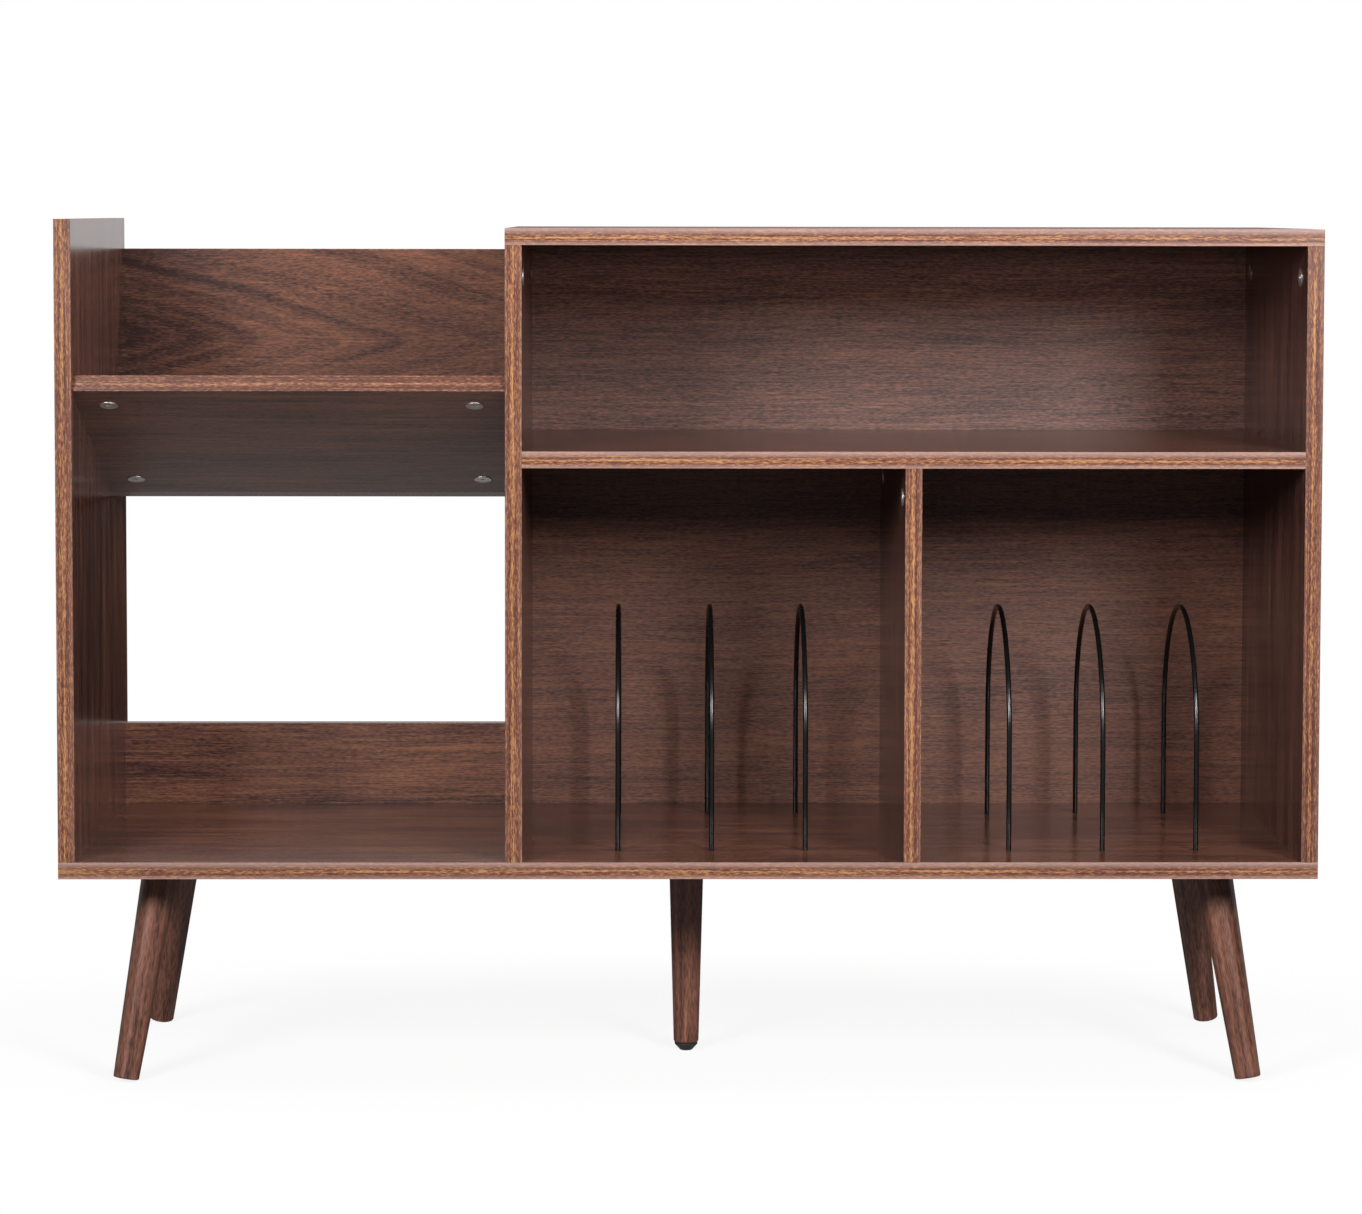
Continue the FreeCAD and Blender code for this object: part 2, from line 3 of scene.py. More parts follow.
import bmesh
import bpy
from bpy.props import FloatProperty, FloatVectorProperty, IntProperty, PointerProperty
from mathutils import Matrix, Vector


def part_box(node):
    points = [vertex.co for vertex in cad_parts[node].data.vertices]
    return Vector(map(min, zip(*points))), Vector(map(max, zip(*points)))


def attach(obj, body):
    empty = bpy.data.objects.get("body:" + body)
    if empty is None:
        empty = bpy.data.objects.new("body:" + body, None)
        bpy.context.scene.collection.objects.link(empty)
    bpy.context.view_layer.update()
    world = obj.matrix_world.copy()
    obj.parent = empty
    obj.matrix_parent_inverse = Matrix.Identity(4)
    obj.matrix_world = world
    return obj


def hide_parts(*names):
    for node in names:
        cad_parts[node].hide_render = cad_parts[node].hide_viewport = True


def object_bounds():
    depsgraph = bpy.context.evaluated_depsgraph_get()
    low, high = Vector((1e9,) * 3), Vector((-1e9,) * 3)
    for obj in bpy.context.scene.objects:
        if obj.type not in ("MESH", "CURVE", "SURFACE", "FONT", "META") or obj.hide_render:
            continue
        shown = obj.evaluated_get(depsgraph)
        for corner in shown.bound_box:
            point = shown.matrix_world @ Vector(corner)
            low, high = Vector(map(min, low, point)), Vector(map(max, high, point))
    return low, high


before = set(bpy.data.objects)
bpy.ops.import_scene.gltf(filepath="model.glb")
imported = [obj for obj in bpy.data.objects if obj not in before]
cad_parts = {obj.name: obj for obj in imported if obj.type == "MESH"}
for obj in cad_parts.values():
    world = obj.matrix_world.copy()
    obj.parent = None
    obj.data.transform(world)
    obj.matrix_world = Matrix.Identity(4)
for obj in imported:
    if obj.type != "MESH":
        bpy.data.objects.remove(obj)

bl_info = {
    "name": "Audio console",
    "version": (1, 0, 0),
    "blender": (4, 5, 0),
    "location": "3D View > Sidebar > Console",
    "description": "Finishes the packed audio console: foil, edging, legs, wires, fittings and stage",
    "category": "Object",
}

MM = 0.001
RIGHTWARD = Vector((1, 0, 0))
LEFTWARD = Vector((-1, 0, 0))
BACKWARD = Vector((0, 1, 0))
UP = Vector((0, 0, 1))
DOWN = Vector((0, 0, -1))
ALONG_X, ALONG_Y, ALONG_Z = range(3)
HEAD_DOWN = Matrix.Rotation(math.pi, 4, "X")

# Planes of the carcass, from the frame
CAD_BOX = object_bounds()
FRONT = CAD_BOX[0].y
REAR = CAD_BOX[1].y
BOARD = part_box("top_board")[1].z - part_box("top_board")[0].z
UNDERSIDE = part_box("bottom_board")[0].z
SHEET_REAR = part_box("back_sheet")[1].y

LEFT_UPRIGHTS = ("left_end_board", "rack_partition")
RIGHT_UPRIGHTS = ("right_end_board", "lower_bay_divider")
LEGS = ("front_left_leg", "front_right_leg", "rear_left_leg", "rear_right_leg", "centre_leg")
WIRES = ["wire_divider_%d" % number for number in range(1, 7)]

# Foil boards: finish, axis of the grain, ground tone, roughness, boards. The one foil gets a different ground
# on each group: painted light on the cross boards, painted shade on the uprights, most on the right ones.
FOIL_BOARDS = (
    ("walnut_foil_level", ALONG_X, 0.44, 0.2, ("bottom_board", "middle_shelf")),
    ("walnut_foil_cross_painted_light", ALONG_X, 0.51, 0.42, ("top_board", "rear_rail", "rack_seat")),
    ("walnut_foil_left_painted_shade", ALONG_Z, 0.35, 0.22, LEFT_UPRIGHTS),
    ("walnut_foil_right_painted_shade", ALONG_Z, 0.27, 0.22, RIGHT_UPRIGHTS),
)
# Edging of the boards that aren't tilted: axis across a strip, ground tone, strength of the painted highlight
# on the margins (strongest on the strips that lie level), strips
STRAIGHT_EDGINGS = (
    (ALONG_Z, 0.47, 0.58, ("top_board_edging", "bottom_board_edging", "shelf_edging")),
    (ALONG_X, 0.49, 0.12, ("left_end_edging", "partition_edging", "bay_divider_edging")),
    # Painted shade: the right end's strip gets a darker ground than the other upright strips.
    (ALONG_X, 0.4, 0.12, ("right_end_edging",)),
    (ALONG_Y, 0.4, 0.1, ("rear_rail_edging",)),
)

# Strengths of the walnut print: soft clouds, grain bands, grain lines, short fibres
BOARD_PRINT = (0.7, 0.5, 0.9, 1.15)
FIGURED_PRINT = (0.75, 0.1, 0.45, 1.15)
SHEET_PRINT = (0.4, 0.3, 0.9, 1.4)
STREAK_PEAKS = (0.58, 0.72)  # the part of a pattern that shows as light streaks
STREAK_STRENGTH = 0.35

# Tones at which the four colours of a wood lie, pores to light
PRINT_STOPS = (0.05, 0.28, 0.5, 0.95)
GRAIN_STOPS = (0.05, 0.3, 0.52, 0.95)
# Tones across a strip of edging: the tan band lies a little off its middle
BAND_STOPS = ((0.0, 0.5), (0.14, 0.42), (0.28, 0.32), (0.36, 0.52), (0.45, 0.8), (0.54, 0.56), (0.64, 0.28),
              (0.84, 0.4), (1.0, 0.5))
BAND_MIDDLE = 0.44
# The margins of a strip carry a painted highlight; these shares say where it begins and where it is full.
HIGHLIGHT_SPAN = (0.12, 0.46)  # from the band's middle, where the pale margins begin and are full

# Values of a noise pattern: the middle of it, and nearly all of it
NOISE_CORE = (0.3, 0.7)
NOISE_SPAN = (0.2, 0.8)

# Colour sockets of a Mix node
SHARE, UNDER, OVER = 0, 6, 7
COLOUR_MIX = {"output": 2, "data_type": "RGBA"}

# Bare wood, seen at the rear
SAWN_SKIN = 0.4 * MM  # depth of a board's sawn edge
BARE_SKIN = 0.5 * MM  # depth of the back sheet's bare face
SAWN_ROUGH = 0.85
BARE_ROUGH = 0.7

# Paper floor
PAPER_DROP = 0.2 * MM  # below the feet, so that the two don't share a plane
PAPER_FADE = 0.6  # of the way in from the rim, where the paper is full
PAPER_COVER = 0.14  # opacity of the full paper
PAPER_ROUGH = (0.9, 0.96)
PAPER_SIDES = 128

# Camera, and directions in which the room's light changes
SENSOR_WIDTH = 36  # mm, as the camera counts it
WALL_SIDES = (-0.1, 0.35)  # depth of a direction, from the dim front to the pale wall
APRON_EDGE = (-0.12, -0.06)  # height of a direction, from the floor in front to the dim front

# Small shapes of the fittings
FACING = 0.9  # least share of Z in the normal of a face that looks up or down
TOUCH = 0.1 * MM  # an edge this near to a plane lies on it
DOUBLES = 0.001 * MM
SMOOTH_ANGLE = math.radians(32)
CROSS_TAPER = (0.6, 0.7, 1)  # floor of a driver's cross, of its mouth
CAM_SIDES = 64
CAM_LAND = 1.3 * MM  # flat ring of the rim
CAM_DISH = 0.25 * MM  # depth of the dish inside the ring
CAM_DISH_WALL = 0.3 * MM
CAM_ROUND = 0.4 * MM
CAM_CROSS = (8 * MM, 1.5 * MM, 1.3 * MM)  # reach, width, depth
CAM_ARROW = 1.1 * MM  # middle of the arrow to its corners
CAM_ARROW_DEPTH = 0.4 * MM
CAM_ARROW_SPOT = 0.62  # of the rim's radius
SCREW_SIDES = 32
SCREW_DOME = 0.55  # of the head's height
SCREW_POINT = 0.08  # of the shank
SCREW_CROSS = (4.2 * MM, 1.0 * MM, 1.3 * MM)  # reach, width, depth
BASE_ROUND = 0.5 * MM
BASE_SOCKET = 2.3 * MM  # middle of the hexagon to its corners
BASE_SOCKET_DEPTH = 2.5 * MM


def linear(code):
    """Linear red, green and blue of an sRGB hex colour."""
    channels = [int(code[start:start + 2], 16) / 255 for start in (0, 2, 4)]
    return [c / 12.92 if c <= 0.04045 else ((c + 0.055) / 1.055) ** 2.4 for c in channels]


def colour(name, description, code):
    """Colour property with an sRGB hex default."""
    return FloatVectorProperty(name=name, description=description, default=linear(code), subtype="COLOR",
                               min=0, max=1)


def length(name, description, millimetres):
    """Length property with a default in millimetres."""
    return FloatProperty(name=name, description=description, default=millimetres * MM, unit="LENGTH", min=0)


def angle(name, description, degrees):
    """Angle property with a default in degrees."""
    return FloatProperty(name=name, description=description, default=math.radians(degrees), subtype="ANGLE")


def position(name, description, metres):
    """Property for a place in the console's frame."""
    return FloatVectorProperty(name=name, description=description, default=metres, subtype="TRANSLATION",
                               unit="LENGTH")


def spread(name, description, wide, long):
    """Property for two sizes in metres."""
    return FloatVectorProperty(name=name, description=description, default=(wide, long), size=2,
                               unit="LENGTH")


def wattage(name, description, watts):
    """Property for the power of a light."""
    return FloatProperty(name=name, description=description, default=watts, unit="POWER")


def fraction(name, description, value):
    """Property for a strength from 0 to 1."""
    return FloatProperty(name=name, description=description, default=value, subtype="FACTOR", min=0, max=1)


class ConsoleColours(bpy.types.PropertyGroup):
    """Colours of the finishes."""
    foil_pore: colour("Foil, pores", "Printed pores of the walnut foil", "2b1a17")
    foil_dark: colour("Foil, dark", "Plum-brown clouds of the walnut foil", "472d29")
    foil_mid: colour("Foil, middle", "Ground colour of the walnut foil", "6a4539")
    foil_light: colour("Foil, light", "Orange-brown streaks of the walnut foil", "986649")
    sheet_pore: colour("Sheet, pores", "Printed pores of the back sheet", "2c1a16")
    sheet_dark: colour("Sheet, dark", "Plum-brown clouds of the back sheet", "462c26")
    sheet_mid: colour("Sheet, middle", "Ground colour of the back sheet", "634137")
    sheet_light: colour("Sheet, light", "Light streaks of the back sheet", "895a43")
    figure_pore: colour("Figured foil, pores", "Printed pores of the rack's backrest", "2a1814")
    figure_dark: colour("Figured foil, dark", "Dark lines in the figure of the rack's backrest", "442b25")
    figure_mid: colour("Figured foil, middle", "Ground colour of the rack's backrest", "603e31")
    figure_light: colour("Figured foil, light", "Light lines in the figure of the rack's backrest", "885840")
    edging_pore: colour("Edging, lines", "Red-brown lines of the edging", "472820")
    edging_dark: colour("Edging, dark", "Red-brown sides of the edging", "5a3427")
    edging_mid: colour("Edging, middle", "Ground colour of the edging", "7b4f3a")
    edging_light: colour("Edging, light", "Tan band along the middle of the edging", "ac7f56")
    # Painted highlight: the paler margins stand for light caught on the strip's rounded edges.
    edging_painted_highlight: colour("Edging, margins", "Paler margins where the edging was scraped flush", "a98c84")
    leg_pore: colour("Leg, pores", "Open pores of the stained legs", "2d1a14")
    leg_dark: colour("Leg, dark", "Dark grain of the stained legs", "48291f")
    leg_mid: colour("Leg, middle", "Ground colour of the stained legs", "674133")
    leg_light: colour("Leg, light", "Light grain of the stained legs", "8b5d49")
    chip_dark: colour("Chips, dark", "Dark chips on sawn particle board", "80603f")
    chip_light: colour("Chips, light", "Light chips on sawn particle board", "d2b48c")
    sheet_back: colour("Sheet, rear", "Bare hardboard on the rear of the back sheet", "b48c64")
    wire: colour("Wire", "Black enamel on the wires", "0c0c0d")
    zinc: colour("Zinc", "Die-cast cam locks", "dad9d6")
    plating: colour("Plating", "Zinc plating on screws and bolts", "c4c7c9")
    bracket: colour("Bracket", "Powder coat on the leg brackets", "191a1b")
    foot: colour("Foot", "Moulded levelling foot", "232222")
    beech: colour("Beech", "Dowels", "c99f6c")
    brass: colour("Brass", "Threaded insert", "b8924c")
    paper: colour("Floor", "Seamless paper under the console", "f6f6f6")


class ConsoleGrain(bpy.types.PropertyGroup):
    """Real sizes of the printed and natural grain."""
    cloud_long: length("Cloud length", "Length of the foil's soft clouds of tone", 260)
    cloud_wide: length("Cloud width", "Width of the foil's soft clouds of tone", 26)
    streak_long: length("Streak length", "Length of a light streak in the foil", 130)
    streak_wide: length("Streak width", "Width of a light streak in the foil", 3)
    band_long: length("Band length", "Length of a grain band in the foil", 200)
    band_wide: length("Band width", "Width of a grain band in the foil", 7)
    line_long: length("Line length", "Length of a printed grain line", 60)
    line_wide: length("Line width", "Width of a printed grain line", 1.3)
    fibre_long: length("Fibre length", "Length of a printed fibre", 6)
    fibre_wide: length("Fibre width", "Width of a printed fibre", 0.9)
    sway: length("Sway", "How far the grain wanders sideways", 14)
    sway_long: length("Sway length", "Length over which the grain wanders", 300)
    figure_line: length("Figure line", "Between the nested lines of the backrest, along the board", 34)
    figure_tip: length("Figure tip", "Rounding at the tips of the nested lines", 7)
    figure_slope: angle("Figure slope", "Slope of the nested lines along the board", 15)
    figure_height: length("Figure height", "Seat to the tips of the nested lines", 166)
    figure_heart: length("Figure heart", "Width of the darker heart at the backrest's left end", 170)
    dash_long: length("Dash length", "Length of a printed dash in the edging", 4.5)
    dash_wide: length("Dash width", "Width of a printed dash in the edging", 0.8)
    strip_long: length("Strip line length", "Length of a printed line in the edging", 120)
    strip_wide: length("Strip line width", "Width of a printed line in the edging", 1.3)
    strip_drift: length("Strip drift", "Length over which the edging's tan band wanders", 90)
    leg_sway: length("Leg sway", "How far a leg's grain wanders sideways", 3)
    leg_sway_long: length("Leg sway length", "Length over which a leg's grain wanders", 120)
    leg_band_long: length("Leg band length", "Length of a grain band in a leg", 170)
    leg_band_wide: length("Leg band width", "Width of a grain band in a leg", 6)
    vessel_long: length("Vessel length", "Length of an open pore in a leg", 9)
    vessel_wide: length("Vessel width", "Width of an open pore in a leg", 1.2)
    chip: length("Chip", "Size of a wood chip in the board's core", 2.6)
    felt_long: length("Felt length", "Length of a fibre on bare hardboard", 5)
    felt_wide: length("Felt width", "Width of a fibre on bare hardboard", 2)
    pressed: length("Pressed clouds", "Size of the soft clouds on bare hardboard", 70)
    fleck_wide: length("Fleck width", "Width of a fleck on the beech dowels", 2.2)
    fleck_high: length("Fleck height", "Height of a fleck on the beech dowels", 0.8)
    paper_cloud: length("Paper cloud", "Size of the faint clouds on the paper floor", 400)


class ConsoleFittings(bpy.types.PropertyGroup):
    """Sizes and places of the pieces modelled here."""
    wire_sides: IntProperty(name="Wire sides", description="Sides of a wire's round section", default=24,
                            min=8)
    wire_steps: IntProperty(name="Bend steps", description="Steps round a wire's bend", default=48, min=12)
    wire_bevel: length("Wire end", "Rounding at a wire's ends", 0.5)
    rack_tilt: angle("Rack tilt", "Slope of the rack's seat", 22.5)
    seat_length: length("Seat length", "Rack seat, front edge to backrest", 300)
    backrest_height: length("Backrest height", "Rack backrest above the seat", 250)
    edging: length("Edging", "Thickness of the edging", 1)
    cam_setback: length("Cam setback", "Seam to the middle of a cam", 30)
    cam_from_front: length("Front cams", "Front plane to the front cams", 40)
    cam_from_rear: length("Rear cams", "Rear plane to the rear cams", 50)
    rack_cam_inset: length("Rack cams", "Board's end to the cams of the rack", 40)
    rail_cam_drop: length("Rail cams", "Rail's top to its cams", 28)
    cam_body: length("Cam body", "Diameter of a cam", 14.8)
    cam_depth: length("Cam depth", "Depth of a cam in its board", 12.1)
    cam_rim: length("Cam rim", "Diameter of a cam's rim", 17.5)
    cam_rim_height: length("Rim height", "How far the rim stands out of the board", 0.8)
    cam_jaw: length("Cam jaw", "Opening for the bolt's head", 7.2)
    screw_pitch: length("Screw pitch", "Between a bracket's screws", 48)
    screw_head: length("Screw head", "Diameter of a bracket screw's head", 8)
    screw_head_height: length("Head height", "Height of a bracket screw's head", 2.5)
    screw_shank: length("Screw shank", "Diameter of a bracket screw's shank", 4)
    base_inset: length("Base screws", "Front and rear planes to the base screws", 60)
    base_head: length("Base head", "Diameter of a base screw's head", 10)
    base_head_height: length("Base head height", "Height of a base screw's head", 4)
    base_shank: length("Base shank", "Diameter of a base screw's shank", 7)
    base_thread: length("Base thread", "Diameter of a base screw's thread", 4.8)


class ConsoleStage(bpy.types.PropertyGroup):
    """Camera, floor and lights."""
    camera_place: position("Camera", "Where the camera stands", (-0.0508, -3.9676, 0.8432))
    camera_turn: FloatVectorProperty(
        name="Camera turn", description="Pitch, roll and yaw of the camera",
        default=[math.radians(degrees) for degrees in (-3.456, -0.094, -0.646)], subtype="EULER")
    lens: FloatProperty(name="Lens", description="Focal length", default=105.44, unit="CAMERA")
    shift: FloatVectorProperty(name="Shift", description="Framing of the photograph, in picture widths",
                               default=(0, -0.1153), size=2)
    floor_reach: spread("Floor", "How far the paper floor reaches sideways and in depth", 1.3, 0.6)
    left_light: position("Left light", "Place of the left softbox", (-1.55, -2.37, 1.5))
    left_size: spread("Left size", "Width and height of the left softbox", 0.8, 0.75)
    left_power: wattage("Left power", "Power of the left softbox", 68)
    right_light: position("Right light", "Place of the right softbox", (1.3, -2.37, 1.5))
    right_size: spread("Right size", "Width and height of the right softbox", 0.55, 0.75)
    right_power: wattage("Right power", "Power of the right softbox", 60)
    strip_light: position("Strip light", "Place of the low strip light in front", (0.42, -1.33, 0.86))
    strip_size: spread("Strip size", "Width and height of the low strip light", 1.2, 0.09)
    strip_power: wattage("Strip power", "Power of the low strip light", 7)
    overhead_light: position("Overhead light", "Place of the light over the console", (0, 0.3, 2.8))
    overhead_size: spread("Overhead size", "Width and depth of the light over the console", 3, 2)
    overhead_power: wattage("Overhead power", "Power of the light over the console", 38)
    studio: fraction("Studio", "Light from the dim front of the studio", 0.06)
    wall: fraction("Wall", "Light from the pale foot of the wall behind the console", 0.9)
    room: fraction("Room", "Light from the rest of the wall and the far floor", 0.4)
    apron: fraction("Apron", "Light from the floor in front of the console", 0.2)


def add_node(tree, kind, inputs=(), stops=(), output=0, **settings):
    """Add a node and return one of its outputs.

    Inputs are values or sockets to link, in the sockets' order or by name; stops fill a ramp.
    """
    made = tree.nodes.new(kind)
    for name, value in settings.items():
        setattr(made, name, value)
    for name, value in (inputs if isinstance(inputs, dict) else dict(enumerate(inputs))).items():
        if isinstance(value, bpy.types.NodeSocket):
            tree.links.new(value, made.inputs[name])
        else:
            made.inputs[name].default_value = value
    for number, (place, tint) in enumerate(stops):
        ramp = made.color_ramp.elements
        stop = ramp[number] if number < 2 else ramp.new(place)
        stop.position = place
        stop.color = opaque(tint)
    return made.outputs[output] if made.outputs else made


def opaque(tint):
    """Colour with full alpha, as a colour socket takes it."""
    return (*tint, 1)


def greys(stops):
    """Stops of a ramp from places and tones."""
    return [(place, (tone,) * 3) for place, tone in stops]


def wood_stops(wood, places):
    """Stops of a ramp with the four colours of a wood, pores to light."""
    colours = bpy.context.scene.console_colours
    tints = [getattr(colours, wood + shade) for shade in ("_pore", "_dark", "_mid", "_light")]
    return zip(places, tints)


def start_finish(name):
    """New node material with its tree and the place on the piece that its patterns read."""
    material = bpy.data.materials.new(name)
    material.use_nodes = True
    tree = material.node_tree
    tree.nodes.clear()
    return material, tree, add_node(tree, "ShaderNodeTexCoord", output="Object")


def end_finish(tree, relief, depth, **surface):
    """Give a material its surface, with a relief of the given depth in millimetres."""
    inputs = {name.replace("_", " "): value for name, value in surface.items()}
    inputs["Normal"] = add_node(tree, "ShaderNodeBump", {
        "Height": relief, "Distance": depth * MM, "Strength": 1})
    shader = add_node(tree, "ShaderNodeBsdfPrincipled", inputs)
    add_node(tree, "ShaderNodeOutputMaterial", {"Surface": shader})


def streaks(tree, place, sizes, detail=2.0, output="Fac"):
    """Cloudy pattern whose marks are about the given sizes along X, Y and Z."""
    scale = [1 / size for size in sizes]
    fitted = add_node(tree, "ShaderNodeVectorMath", (place, scale), operation="MULTIPLY")
    return add_node(tree, "ShaderNodeTexNoise", {"Vector": fitted, "Scale": 1, "Detail": detail},
                    output=output)


def layered(tree, base, *layers):
    """A base tone with patterns laid over it, each about its middle value and times its weight."""
    for pattern, weight in layers:
        lifted = add_node(tree, "ShaderNodeMath", (pattern, -0.5), operation="ADD")
        base = add_node(tree, "ShaderNodeMath", (lifted, weight, base), operation="MULTIPLY_ADD")
    return base


def drawn(run, along, aside):
    """X, Y and Z sizes of a mark, from its size along one axis and its size aside from it."""
    return [along if axis == run else aside for axis in range(3)]


def swaying(tree, place, run, long, reach):
    """Place on the piece, moved sideways so that the grain wanders about its run."""
    drift = streaks(tree, place, drawn(run, long, long / 3), detail=1.0, output="Color")
    return add_node(tree, "ShaderNodeVectorMath", (drift, drawn(run, 0, reach), place),
                    operation="MULTIPLY_ADD")


def walnut_print(tree, lain, run, ground, clouds, strengths, wood):
    """Colour and relief of the walnut print, whose light streaks lie over the rest."""
    grain = bpy.context.scene.console_grain
    light = streaks(tree, lain, drawn(run, grain.streak_long, grain.streak_wide))
    light = add_node(tree, "ShaderNodeMapRange", (light, *STREAK_PEAKS, 0.5, 1))
    bands = streaks(tree, lain, drawn(run, grain.band_long, grain.band_wide))
    # Printed lines and fibres are about a third as wide: drawn coarser, or the render would lose them.
    lines = streaks(tree, lain, drawn(run, grain.line_long, grain.line_wide))
    fibres = streaks(tree, lain, drawn(run, grain.fibre_long, grain.fibre_wide))
    layers = zip((clouds, bands, lines, fibres), strengths)
    tone = layered(tree, ground, *layers, (light, STREAK_STRENGTH))
    return add_node(tree, "ShaderNodeValToRGB", (tone,), wood_stops(wood, PRINT_STOPS)), fibres


def behind(tree, place, plane):
    """1 where a piece lies behind a plane, 0 in front of it."""
    depth = add_node(tree, "ShaderNodeSeparateXYZ", (place,), output="Y")
    return add_node(tree, "ShaderNodeMath", (depth, plane), operation="GREATER_THAN")


def foil_on_board(material, tree, place, tint, relief, satin):
    """Satin foil over particle board, sawn bare at the rear edges, where the eye sees pale chips."""
    colours = bpy.context.scene.console_colours
    chip = bpy.context.scene.console_grain.chip
    chips = add_node(tree, "ShaderNodeTexVoronoi", {"Vector": place, "Scale": 1 / chip}, output="Color")
    chips = add_node(tree, "ShaderNodeSeparateColor", (chips,))
    core = add_node(tree, "ShaderNodeMix", {
        SHARE: chips, UNDER: opaque(colours.chip_dark), OVER: opaque(colours.chip_light)}, **COLOUR_MIX)
    sawn = behind(tree, place, REAR - SAWN_SKIN)
    tint = add_node(tree, "ShaderNodeMix", {SHARE: sawn, UNDER: tint, OVER: core}, **COLOUR_MIX)
    rough = add_node(tree, "ShaderNodeMapRange", (sawn, 0, 1, satin, SAWN_ROUGH))
    end_finish(tree, relief, depth=0.05, Base_Color=tint, Roughness=rough, IOR=1.54)
    return material


def walnut_foil_on_board(name, run, ground, satin):
    """Walnut-print paper foil pressed on particle board: fine red-brown grain under a soft sheen."""
    grain = bpy.context.scene.console_grain
    material, tree, place = start_finish(name)
    lain = swaying(tree, place, run, grain.sway_long, grain.sway)
    clouds = streaks(tree, lain, drawn(run, grain.cloud_long, grain.cloud_wide), detail=3.0)
    tint, relief = walnut_print(tree, lain, run, ground, clouds, BOARD_PRINT, "foil")
    return foil_on_board(material, tree, place, tint, relief, satin)


def figured_foil_on_board(name, heart_ground, ground, satin):
    """Walnut-print foil from the middle of a log: nested pointed lines under the fine grain, darker."""
    grain = bpy.context.scene.console_grain
    fittings = bpy.context.scene.console_fittings
    seat_edge, _, up_backrest = rack_frame()
    material, tree, place = start_finish(name)
    laid = add_node(tree, "ShaderNodeMapping", {
        "Vector": place, "Rotation": (fittings.rack_tilt, 0, 0),
        "Location": (0, 0, -seat_edge.dot(up_backrest) - grain.figure_height)})
    lain = swaying(tree, laid, ALONG_X, grain.sway_long, 2 * grain.sway)
    side = add_node(tree, "ShaderNodeSeparateXYZ", (lain,), output="Z")
    bow = add_node(tree, "ShaderNodeMath", (side, side, grain.figure_tip ** 2), operation="MULTIPLY_ADD")
    bow = add_node(tree, "ShaderNodeMath", (bow,), operation="SQRT")
    bow = add_node(tree, "ShaderNodeMath", (bow, math.tan(grain.figure_slope)), operation="DIVIDE")
    bow = add_node(tree, "ShaderNodeCombineXYZ", (bow,))
    nested = add_node(tree, "ShaderNodeVectorMath", (lain, bow), operation="ADD")
    clouds = streaks(tree, nested, drawn(ALONG_X, grain.figure_line, 12 * grain.figure_line), detail=3.0)
    # The heart of the log, at the left end, is darker.
    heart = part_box("rack_backrest")[0].x
    tone = add_node(tree, "ShaderNodeSeparateXYZ", (lain,), output="X")
    tone = add_node(tree, "ShaderNodeMapRange", (
        tone, heart, heart + grain.figure_heart, heart_ground, ground))
    tint, relief = walnut_print(tree, lain, ALONG_X, tone, clouds, FIGURED_PRINT, "figure")
    return foil_on_board(material, tree, place, tint, relief, satin)


def walnut_foil_on_sheet(name, low_ground, shaded_top_ground, satin):
    """Walnut-print foil on thin hardboard: pinker and softer than the boards, bare fibre at the rear."""
    colours = bpy.context.scene.console_colours
    grain = bpy.context.scene.console_grain
    material, tree, place = start_finish(name)
    lain = swaying(tree, place, ALONG_X, grain.sway_long, grain.sway)
    clouds = streaks(tree, lain, drawn(ALONG_X, 2 * grain.cloud_long, grain.cloud_wide))
    # Painted shade: the print is darker above the shelf, in the upper bay.
    shelf_low, shelf_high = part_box("middle_shelf")
    ground = add_node(tree, "ShaderNodeSeparateXYZ", (place,), output="Z")
    ground = add_node(tree, "ShaderNodeMapRange", (ground, shelf_low.z, shelf_high.z, low_ground, shaded_top_ground))
    tint, relief = walnut_print(tree, lain, ALONG_X, ground, clouds, SHEET_PRINT, "sheet")
    felt = streaks(tree, place, drawn(ALONG_X, grain.felt_long, grain.felt_wide), detail=4.0)
    pressed = streaks(tree, place, (grain.pressed,) * 3, detail=5.0)
    felt = add_node(tree, "ShaderNodeMapRange", (layered(tree, felt, (pressed, 0.45)), 0.15, 0.75))
    fibre = add_node(tree, "ShaderNodeMix", {
        SHARE: felt, UNDER: opaque(colours.chip_dark), OVER: opaque(colours.sheet_back)}, **COLOUR_MIX)
    bare = behind(tree, place, SHEET_REAR - BARE_SKIN)
    tint = add_node(tree, "ShaderNodeMix", {SHARE: bare, UNDER: tint, OVER: fibre}, **COLOUR_MIX)
    rough = add_node(tree, "ShaderNodeMapRange", (bare, 0, 1, satin, BARE_ROUGH))
    end_finish(tree, relief, depth=0.04, Base_Color=tint, Roughness=rough, IOR=1.6)
    return material


